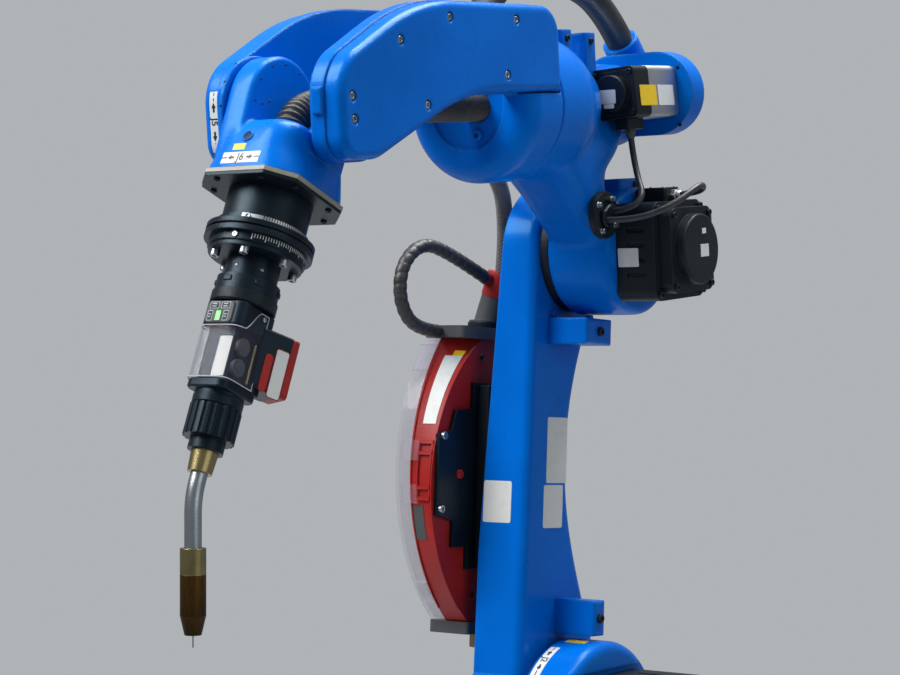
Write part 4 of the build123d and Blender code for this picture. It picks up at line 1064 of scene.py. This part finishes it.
ELBOW_FRONT, ELBOW_REAR, BELL, TUBE = 0.235, -0.030, 0.090, 0.054
BELL_FOOT, BELL_HEAD, BELL_GAP = 0.070, 0.178, 0.0004
POCKET_SIDE, POCKET_END = 0.0310, 0.0935
HUB, HUB_NEAR, HUB_FAR, HUB_EDGE = 0.084, 0.050, -0.043, 0.009
NECK_CORNER = 0.028
NECK = (
    (-0.020, -0.040, 0.060, -0.043, 0.048), (0.020, -0.020, 0.092, -0.043, 0.050),
    (0.050, 0.038, 0.122, -0.044, 0.050), (0.080, 0.066, 0.150, -0.047, 0.051),
    (0.105, 0.066, 0.176, -0.051, 0.053), (0.130, 0.040, 0.206, -0.058, 0.056),
    (0.155, 0.010, 0.222, -0.062, 0.050), (0.180, 0.000, 0.215, -0.060, 0.040),
)
SKIN_VOXEL, SKIN_ROUNDS = 0.003, 26


def bell():
    """The bell on the forearm's axis: its radius grows along X by a smooth step, flat beside the motor."""
    x = np.sort(np.r_[np.linspace(ELBOW_REAR, ELBOW_FRONT - 0.008, 60), POCKET_END, POCKET_END + 0.0005])
    share = np.clip((x - BELL_FOOT) / (BELL_HEAD - BELL_FOOT), 0, 1)
    radius = TUBE + (BELL - BELL_GAP - TUBE) * share**2 * (3 - 2 * share)
    shape = turned(np.c_[radius, x], 96).at((0, 0, ELBOW_RISE), UP, FORWARD)
    beside = shape.points[:, 0] <= POCKET_END + 0.0001
    shape.points[:, 1] = np.where(beside, np.minimum(shape.points[:, 1], POCKET_SIDE), shape.points[:, 1])
    return shape


def neck_ring(level, rear, front, far, near):
    """The leaning neck at a level: a rounded rectangle of the listed reach along X and Y."""
    outline = rounded(front - rear, near - far, NECK_CORNER, 10)
    return raised(outline + ((front + rear) / 2, (near + far) / 2), level)


def hub():
    """The hub on the elbow's axis: a disc across Y whose near rim is rounded by a quarter circle."""
    turn = np.linspace(0, pi / 2, 6)
    rim = np.c_[HUB - HUB_EDGE + HUB_EDGE * np.cos(turn), HUB_NEAR - HUB_EDGE + HUB_EDGE * np.sin(turn)]
    return turned(np.r_[((HUB, HUB_FAR),), rim], 96).at((0, 0, 0), FORWARD, LEFT)


def one_skin(made):
    """Puts one even skin over all of a piece, and smooths it so that the corners in it fill out."""
    over = made.modifiers.new("one_skin", "REMESH")
    over.mode, over.voxel_size, over.use_smooth_shade = "VOXEL", SKIN_VOXEL, True
    ease = made.modifiers.new("filled_corners", "SMOOTH")
    ease.factor, ease.iterations = 0.5, SKIN_ROUNDS
    solid = bpy.data.meshes.new_from_object(made.evaluated_get(bpy.context.evaluated_depsgraph_get()))
    made.modifiers.clear()
    made.data = solid


casting = joined([hub(), skin([neck_ring(*level) for level in NECK]), bell()])
one_skin(piece("elbow_body", casting, blue_paint, elbow, sharp=60.0, stands_for=("elbow_casting",)))
collar = turned((
    (BELL - BELL_GAP, 0.172), (BELL, 0.180), (BELL, ELBOW_FRONT - 0.0012), (BELL - 0.0012, ELBOW_FRONT),
), 96)
piece("elbow_collar", collar.at((0, 0, ELBOW_RISE), UP, FORWARD), blue_paint, elbow)
SADDLE_TURN = radians(210)
out = np.array((0, cos(SADDLE_TURN), sin(SADDLE_TURN)))
saddle = block(0.044, 0.044, 0.060, 0.004, 0.0015).at((0.190, 0, ELBOW_RISE) + 0.064 * out, FORWARD, out)
piece("hose_saddle", saddle, blue_paint, elbow)
LUGS, LUG_HEIGHT = ((0.134, 0.284), (0.078, 0.281)), 0.075
lugs = [block(0.024, 0.026, LUG_HEIGHT, 0.002, 0.001).at((x, 0.022, top - LUG_HEIGHT)) for x, top in LUGS]
piece("elbow_lugs", joined(lugs), blue_paint, elbow)


def square_sleeve(size, corner, wall, length):
    """A square sleeve along Z: a rounded square's outside and inside, joined at both ends."""
    outer, inner = (rounded(across, across, corner) for across in (size, size - 2 * wall))
    levels = ((outer, 0), (outer, length), (inner, length), (inner, 0), (outer, 0))
    walls = skin([raised(*level) for level in levels])
    return Shape(walls.points, walls.quads)


def on_motor(shape, mount, x, axis, reach, level):
    """One shape at four corners about a motor's axis, at a reach from it and a level along it."""
    y = np.cross(axis, x)
    spots = [mount + a * reach * x + b * reach * y + level * axis for a, b in SQUARE]
    return cluster(shape, spots, axis, x)


J3_MOUNT, J3_FRAME, J3_LENGTH, J3_CAP = np.array((0, 0.050, 0)), 0.126, 0.056, 0.014
J4_MOUNT, J4_FRAME, J4_LENGTH, J4_CAP = np.array((-0.030, 0.064, 0.202)), 0.064, 0.078, 0.012
J2_MOUNT, J2_FRAME, J2_LENGTH, J2_CAP = np.array((0.160, 0.016, 0.460)), 0.184, 0.096, 0.040
STEP_LENGTH = 0.35
J4_ROLL = radians(4.0)
j4_x = np.array((0, cos(J4_ROLL), sin(J4_ROLL)))
j4_up = np.cross(FORWARD, j4_x)

shield_seat = J3_LENGTH * (1 + STEP_LENGTH)
screws = joined([
    on_motor(socket_screw(0.0042, 0.0036), J3_MOUNT, FORWARD, LEFT, 0.0455, shield_seat),
    on_motor(socket_screw(0.0046, 0.0055), J3_MOUNT, FORWARD, LEFT, 0.0545, J3_LENGTH),
])
piece("j3_motor_screws", screws, motor_black, elbow)
j3_plate = plate(0.030, 0.024, 0.0006, 0.0015).at((J3_FRAME / 2, 0.0675, -0.006), LEFT, FORWARD)
piece("j3_motor_plate", j3_plate, label_white, elbow)
cap_face = J3_MOUNT[1] + shield_seat + J3_CAP
tags = joined([
    plate(0.021, 0.016, TAG, 0.001).at((-0.007, cap_face, -0.002), FORWARD, LEFT),
    plate(0.010, 0.007, TAG, 0.001).at((-0.007, cap_face, 0.023), FORWARD, LEFT),
])
piece("j3_cap_tags", tags, label_white, elbow)

TERMINAL_TOP, LID, LID_SINK = J3_FRAME / 2 + 0.014, 0.0035, 0.0002
terminal_y = J3_MOUNT[1] + J3_LENGTH / 2
lid = plate(0.037, 0.043, LID, 0.003, 0.001).at((0, terminal_y, TERMINAL_TOP - LID_SINK))
piece("j3_terminal_lid", lid, motor_black, elbow)
seats = [(0.0145 * a, terminal_y + 0.0175 * b, TERMINAL_TOP + LID - LID_SINK) for a, b in SQUARE]
piece("j3_terminal_screws", cluster(pan_screw(0.0022, 0.0012), seats, UP), steel, elbow)


def lead_nut(radius, length):
    """A cable nut along Z: a hexagon, then a round neck that tapers to the lead."""
    profile = (
        (radius, 0), (radius, 0.45 * length), (0.86 * radius, 0.5 * length), (0.86 * radius, 0.8 * length),
        (0.62 * radius, length),
    )
    return turned(profile, 36, lambda angle, row: np.where(row < 2, hexagon(angle), 1.0))


piece("j3_lead_nut", lead_nut(0.0075, 0.013).at((0, 0.1005, 0.070), UP, LEFT), silver, elbow, "steel")
drop = J4_MOUNT + FORWARD * 0.074 - j4_up * (J4_FRAME / 2 + 0.0135)
piece("j4_lead_nut", lead_nut(0.0068, 0.012).at(drop, FORWARD, -j4_up), cap_grey, elbow, "motor_black")

SILVER_END, REAR_LENGTH, FRAME_CORNER, SILVER_WALL = 0.069, 0.036, 0.0072, 0.0012
seat = J4_MOUNT + FORWARD * SILVER_WALL / 2
silver_frame = square_sleeve(J4_FRAME + SILVER_WALL, FRAME_CORNER, SILVER_WALL, SILVER_END)
piece("j4_motor_silver_frame", silver_frame.at(seat, j4_x, FORWARD), silver, elbow, "steel")
seat = J4_MOUNT + FORWARD * SILVER_END
rear_frame = square_sleeve(J4_FRAME + 0.0004, FRAME_CORNER, 0.0090, REAR_LENGTH).at(seat, j4_x, FORWARD)
piece("j4_motor_rear_frame", rear_frame, motor_black, elbow)
screws = on_motor(socket_screw(0.0034, 0.0032), J4_MOUNT, j4_x, FORWARD, 0.0255, SILVER_END + REAR_LENGTH)
piece("j4_motor_screws", screws, motor_black, elbow)
for name, finish, width, x in (("tag", label_yellow, 0.041, 0.045), ("plate", label_white, 0.040, 0.0005)):
    spot = J4_MOUNT + FORWARD * (x - J4_MOUNT[0]) - 0.006 * j4_up + j4_x * (J4_FRAME + SILVER_WALL) / 2
    piece(f"j4_motor_{name}", plate(width, 0.026, TAG, 0.001).at(spot, FORWARD, j4_x), finish, elbow)
j4_face = J4_MOUNT[0] + J4_LENGTH * (1 + STEP_LENGTH) + J4_CAP
tags = joined([
    plate(0.0225, 0.0175, TAG, 0.001).at((j4_face, 0.0625, 0.198), LEFT, FORWARD),
    plate(0.0150, 0.0055, TAG, 0.001).at((j4_face, 0.0635, 0.186), LEFT, FORWARD),
])
piece("j4_cap_tags", tags, label_white, elbow)

gland_seat = np.array((0.097, 0.057, 0.050))
rim = ring(0.0295, 0.0180, 0.0025, 16).at(gland_seat - (0, 0.0002, 0), FORWARD, LEFT)
piece("gland_rim", rim, motor_black, elbow)
seats = circle(np.arange(55, 415, 90), 0.0238, gland_seat + (0, 0.0023, 0), FORWARD, -UP)
piece("gland_screws", cluster(hex_bolt(0.0034, 0.0045), seats, LEFT), steel, elbow)
bush = plate(0.034, 0.025, 0.0080, 0.0120, 0.002)
bush = bush.at(gland_seat - (0.0005, 0.0002, 0.001), (0.82, 0, -0.5), LEFT)
piece("gland_bush", bush, tool_black, elbow, "rubber_hose")

half_turn = (90, 135, 180, 225, 270)
seats = [circle(half_turn, 0.034, (-0.072, y, 0.202), side * LEFT) for y, side in ((0, 1), (0.064, -1))]
bolts = cluster(socket_screw(0.0042, 0.0042), np.concatenate(seats), -FORWARD)
piece("gearcase_bolts", bolts, steel, elbow)
seats = ((-0.0301, 0.0985, 0.2335), (-0.0301, 0.0985, 0.1600))
piece("gearcase_pins", cluster(pan_screw(0.0028, 0.0014), seats, FORWARD), motor_black, elbow)
ear = block(0.046, 0.036, 0.017, 0.004, 0.0015).at((0.004, 0.022, 0.077))
piece("elbow_ear", ear, blue_paint, elbow)
ear_screw = socket_screw(0.0045, 0.003).at((-0.008, 0.0398, 0.0855), FORWARD, LEFT)
piece("elbow_ear_screw", ear_screw, motor_black, elbow)
seats = [(x, 0.0348, top - 0.011) for x, top in LUGS]
piece("lug_screws", cluster(socket_screw(0.0042, 0.003), seats, LEFT), motor_black, elbow)


# Lower arm: bare plates, stop screws, and the hub's bolts

ARM_FACE, ARM_LENGTH = -0.055, 0.643
ARM_LEAN = (1, 0, 0.0199)
plates = joined([
    plate(0.048, 0.086, TAG, 0.003).at((0.0250, ARM_FACE, 0.3805), FORWARD, LEFT),
    plate(0.046, 0.056, TAG, 0.003).at((0.0310, ARM_FACE, 0.3070), FORWARD, LEFT),
])
piece("arm_side_plates", plates, label_white, lower_arm)
front_plate = plate(0.043, 0.054, TAG, 0.003).at((0.0966, -0.0985, 0.3120), LEFT, ARM_LEAN)
piece("arm_front_plate", front_plate, label_white, lower_arm)
seats = ((0.024, 0.0049, 0.536), (0.005, 0.0049, 0.164))
piece("stop_screws", cluster(socket_screw(0.0060, 0.0045), seats, LEFT), motor_black, lower_arm)
seats = circle((-118, -104, -90, -76, -62), 0.096, (0, ARM_FACE - 0.0002, ARM_LENGTH))
piece("elbow_hub_bolts", cluster(socket_screw(0.0048, 0.0052), seats, LEFT), blue_paint, lower_arm)


# Wire buffer: card, latches and ribs on its bowed front, screws and rail on its bracket

BUFFER_FOOT = 0.152
BUFFER_MIDDLE = (BUFFER_FOOT + BUFFER_TOP) / 2
BUFFER_NEAR, CASE_WIDTH, BOW = -0.150, 0.034, 0.172
BRACKET_FACE, PATCH_SINK = -0.144, 0.0003


def bowed_line(foot, head, z):
    """X of the circle through the foot, the bow's middle and the head of the buffer, at heights z."""
    half = BUFFER_TOP - BUFFER_MIDDLE
    ends = np.array(((foot, -half), (BOW, 0.0), (head, half)))
    unknowns = np.linalg.solve(np.c_[2 * ends, np.ones(3)], (ends**2).sum(axis=1))
    reach = np.sqrt(unknowns[2] + (unknowns[:2] ** 2).sum())
    return unknowns[0] + np.sqrt(reach**2 - (z - BUFFER_MIDDLE - unknowns[1]) ** 2)


def bowed_front(z, share, lift):
    """A grid on the bowed front at heights z, at shares of the way from near to far line, lifted off."""
    z = np.asarray(z, float)[:, None]
    share = np.asarray(share, float)[None, :]
    near, far = bowed_line(0.080, 0.066, z), bowed_line(0.082, 0.112, z)
    x = near + (far - near) * share
    y = BUFFER_NEAR - CASE_WIDTH * share
    points = np.stack(np.broadcast_arrays(x, y, z), axis=-1)
    out = np.cross(np.gradient(points, axis=1), np.gradient(points, axis=0))
    return points + lift * unit(out * np.sign(out[..., :1]))


def front_patch(low, high, first, last, thickness, rows=24):
    """A thin patch that follows the bowed front between two heights and two shares of its width."""
    z, share = np.linspace(high, low, rows), np.linspace(last, first, 6)
    return shell(bowed_front(z, share, thickness), bowed_front(z, share, -PATCH_SINK))


piece("buffer_card", front_patch(0.410, 0.500, 0.16, 0.66, TAG), label_white, lower_arm)
piece("buffer_card_corner", front_patch(0.500, 0.507, 0.16, 0.46, TAG, 4), label_yellow, lower_arm)
grey_card = front_patch(0.260, 0.304, 0.42, 0.98, 0.0006)
piece("buffer_grey_card", grey_card, cap_grey, lower_arm, "grey_plastic")
ribs = [front_patch(z - 0.0022, z + 0.0022, 0.06, 0.70, 0.0032, 4) for z in (0.386, 0.372, 0.328, 0.314)]
ribs += [front_patch(0.314, 0.386, share, share + 0.09, 0.0024) for share in (0.05, 0.62)]
piece("buffer_ribs", joined(ribs), red_plastic, lower_arm)
beads = [front_patch(0.170, 0.512, share, share + 0.06, 0.0016, 40) for share in (-0.01, 0.93)]
piece("buffer_edge_beads", joined(beads), red_plastic, lower_arm)
latches = [front_patch(low, high, 0.62, 1.35, 0.0050, 8) for low, high in ((0.362, 0.388), (0.308, 0.331))]
ends = ((0.478, 0.512), (0.182, 0.206))
latches += [front_patch(low, high, 0.98, 1.45, 0.0068, 12) for low, high in ends]
piece("buffer_latches", joined(latches), clear_plastic, lower_arm)

seats = ((0.158, BRACKET_FACE, 0.395), (0.160, BRACKET_FACE, 0.301))
piece("bracket_screws", cluster(socket_screw(0.0052, 0.0046), seats, LEFT), steel, lower_arm)
seats = ((0.066, BUFFER_NEAR, 0.500), (0.072, BUFFER_NEAR, 0.186))
piece("buffer_screws", cluster(pan_screw(0.0044, 0.0022), seats, LEFT), motor_black, lower_arm)
button = turned(
    ((0.0062, 0), (0.0062, 0.002), (0.0050, 0.0040), (0.0030, 0.0042), (0.0026, 0.0025), (0.0008, 0.0024)),
    radius=lambda angle, row: np.where(row < 3, 1 + 0.06 * np.cos(6 * angle), 1.0),
)
piece("bracket_button", button.at((0.120, BRACKET_FACE, 0.346), FORWARD, LEFT), red_plastic, lower_arm)
rail = joined([
    block(0.009, 0.016, 0.240, 0.0015, 0.0006).at((0.074, BRACKET_FACE + 0.0076, 0.223)),
    block(0.018, 0.005, 0.240, 0.0012, 0.0006).at((0.066, BRACKET_FACE + 0.0022, 0.223)),
])
piece("bracket_rail", rail, motor_black, lower_arm)
knurled = turned(
    ((0.0246, 0), (0.0256, 0.0015), (0.0256, 0.0085), (0.0236, 0.0105), (0.0226, 0.0108)), 48,
    lambda angle, row: 1 + 0.012 * np.cos(24 * angle) + 0 * row,
)
knurled = knurled.at((0.014, BUFFER_NEAR - 0.029, BUFFER_TOP + 0.0162))
piece("connector_ring", knurled, motor_black, lower_arm)


# Turret and base: turn strip, tags and screws

HUB_AT, HUB_R = np.array((0.160, 0, 0.460)), 0.135
line = circle(np.linspace(72, 46, 16), HUB_R, HUB_AT - (0, 0.033, 0))
turn_strip("j2", "J2", line, 0.014, LEFT, turret, 0.0098, 0.0068, TAG)
line = circle(np.linspace(86.5, 81.0, 5), HUB_R, HUB_AT - (0, 0.018, 0))
piece("hub_tag", ribbon(line, 0.030, TAG, LEFT), label_yellow, turret)

j2_seat = J2_LENGTH * (1 + STEP_LENGTH)
screws = joined([
    on_motor(socket_screw(0.0055, 0.0048), J2_MOUNT, FORWARD, LEFT, 0.066, j2_seat),
    on_motor(socket_screw(0.0062, 0.0070), J2_MOUNT, FORWARD, LEFT, 0.0795, J2_LENGTH),
])
piece("j2_motor_screws", screws, motor_black, turret)
j2_tag = plate(0.046, 0.030, 0.0005, 0.002).at((0.206, 0.060, 0.460 + J2_FRAME / 2))
piece("j2_motor_tag", j2_tag, label_yellow, turret)
j2_cap = J2_MOUNT[1] + j2_seat + J2_CAP
cap_tag = plate(0.030, 0.022, TAG, 0.001).at((0.155, j2_cap, 0.458), FORWARD, LEFT)
piece("j2_cap_tag", cap_tag, label_white, turret)
j2_plate = plate(0.040, 0.046, 0.0006, 0.002).at((0.252, 0.040, 0.455), LEFT, FORWARD)
piece("j2_motor_plate", j2_plate, label_white, turret)
REAR_FACE = -0.194
seats = [(REAR_FACE, 0.069 * a, 0.0805 + 0.0365 * b) for a in (1, -1) for b in (1, -1)]
piece("rear_cover_screws", cluster(socket_screw(0.0048, 0.0042), seats, -FORWARD), steel, base)


# Floor, light and camera

CAMERA_AT = (2.757, 1.589, 0.989)
CAMERA_TURN = 35.0
CAMERA_LENS, SENSOR = 93.6, 36.0
FLOOR_REACH = 3.2
LIGHT_LEVEL, SEEN_LEVEL = 0.25, 0.50

floor_shape = turned(((FLOOR_REACH, 0.0), (0.001, 0.0)), 64)
pale = Finish("pale_floor", Roughness=0.7, Specular_IOR_Level=0.2)
tone = pale.blend(pale.noise(pale.place(), 3.0), (0.33, 0.345, 0.36), (0.36, 0.375, 0.39))
out = pale.add("ShaderNodeVectorMath", {"operation": "LENGTH"}, {0: pale.place()}, out="Value")
fade = out.clipped(0.45 * FLOOR_REACH, 0.98 * FLOOR_REACH)
pale.set(pale.shader, {"Base Color": tone, "Alpha": 1.0 - fade})
floor_mesh = bpy.data.meshes.new("floor")
floor_mesh.from_pydata(floor_shape.points.tolist(), [], floor_shape.quads.tolist())
floor_mesh.materials.append(pale.material)
floor = bpy.data.objects.new("floor", floor_mesh)
scene.collection.objects.link(floor)


def soft_light(name, place, aim, size, watts, tint):
    """A square studio light at a place, turned to a point."""
    lamp = bpy.data.lights.new(name, "AREA")
    lamp.shape = "SQUARE"
    lamp.size = size
    lamp.energy = watts
    lamp.color = tint
    holder = bpy.data.objects.new(name, lamp)
    holder.location = place
    holder.rotation_mode = "QUATERNION"
    holder.rotation_quaternion = (Vector(aim) - Vector(place)).to_track_quat("-Z", "Y")
    scene.collection.objects.link(holder)


HEART = (0.40, 0.0, 0.90)
soft_light("key", (2.6, -1.4, 3.6), HEART, 2.2, 200.0, (1.0, 0.985, 0.96))
soft_light("fill", (1.2, 3.6, 1.9), HEART, 2.6, 18.0, (0.95, 0.98, 1.0))
soft_light("top", (-0.6, 0.4, 4.2), HEART, 2.4, 250.0, (0.97, 0.99, 1.0))

world = bpy.data.worlds.new("studio")
world.use_nodes = True
scene.world = world
sky = world.node_tree
background = sky.nodes["Background"]
ray = sky.nodes.new("ShaderNodeLightPath")
seen = sky.nodes.new("ShaderNodeMath")
seen.operation = "MAXIMUM"
level = sky.nodes.new("ShaderNodeMapRange")
level.inputs["To Min"].default_value = LIGHT_LEVEL
level.inputs["To Max"].default_value = SEEN_LEVEL
sky.links.new(ray.outputs["Is Camera Ray"], seen.inputs[0])
sky.links.new(ray.outputs["Is Transmission Ray"], seen.inputs[1])
sky.links.new(seen.outputs[0], level.inputs["Value"])
sky.links.new(level.outputs[0], background.inputs["Strength"])
background.inputs["Color"].default_value = (0.86, 0.90, 0.94, 1.0)

eye = bpy.data.cameras.new("camera")
eye.lens = CAMERA_LENS
eye.sensor_width = SENSOR
camera = bpy.data.objects.new("camera", eye)
camera.location = CAMERA_AT
camera.rotation_mode = "QUATERNION"
look = Vector((-cos(radians(CAMERA_TURN)), -sin(radians(CAMERA_TURN)), 0.0))
camera.rotation_quaternion = look.to_track_quat("-Z", "Y")
scene.collection.objects.link(camera)
scene.camera = camera
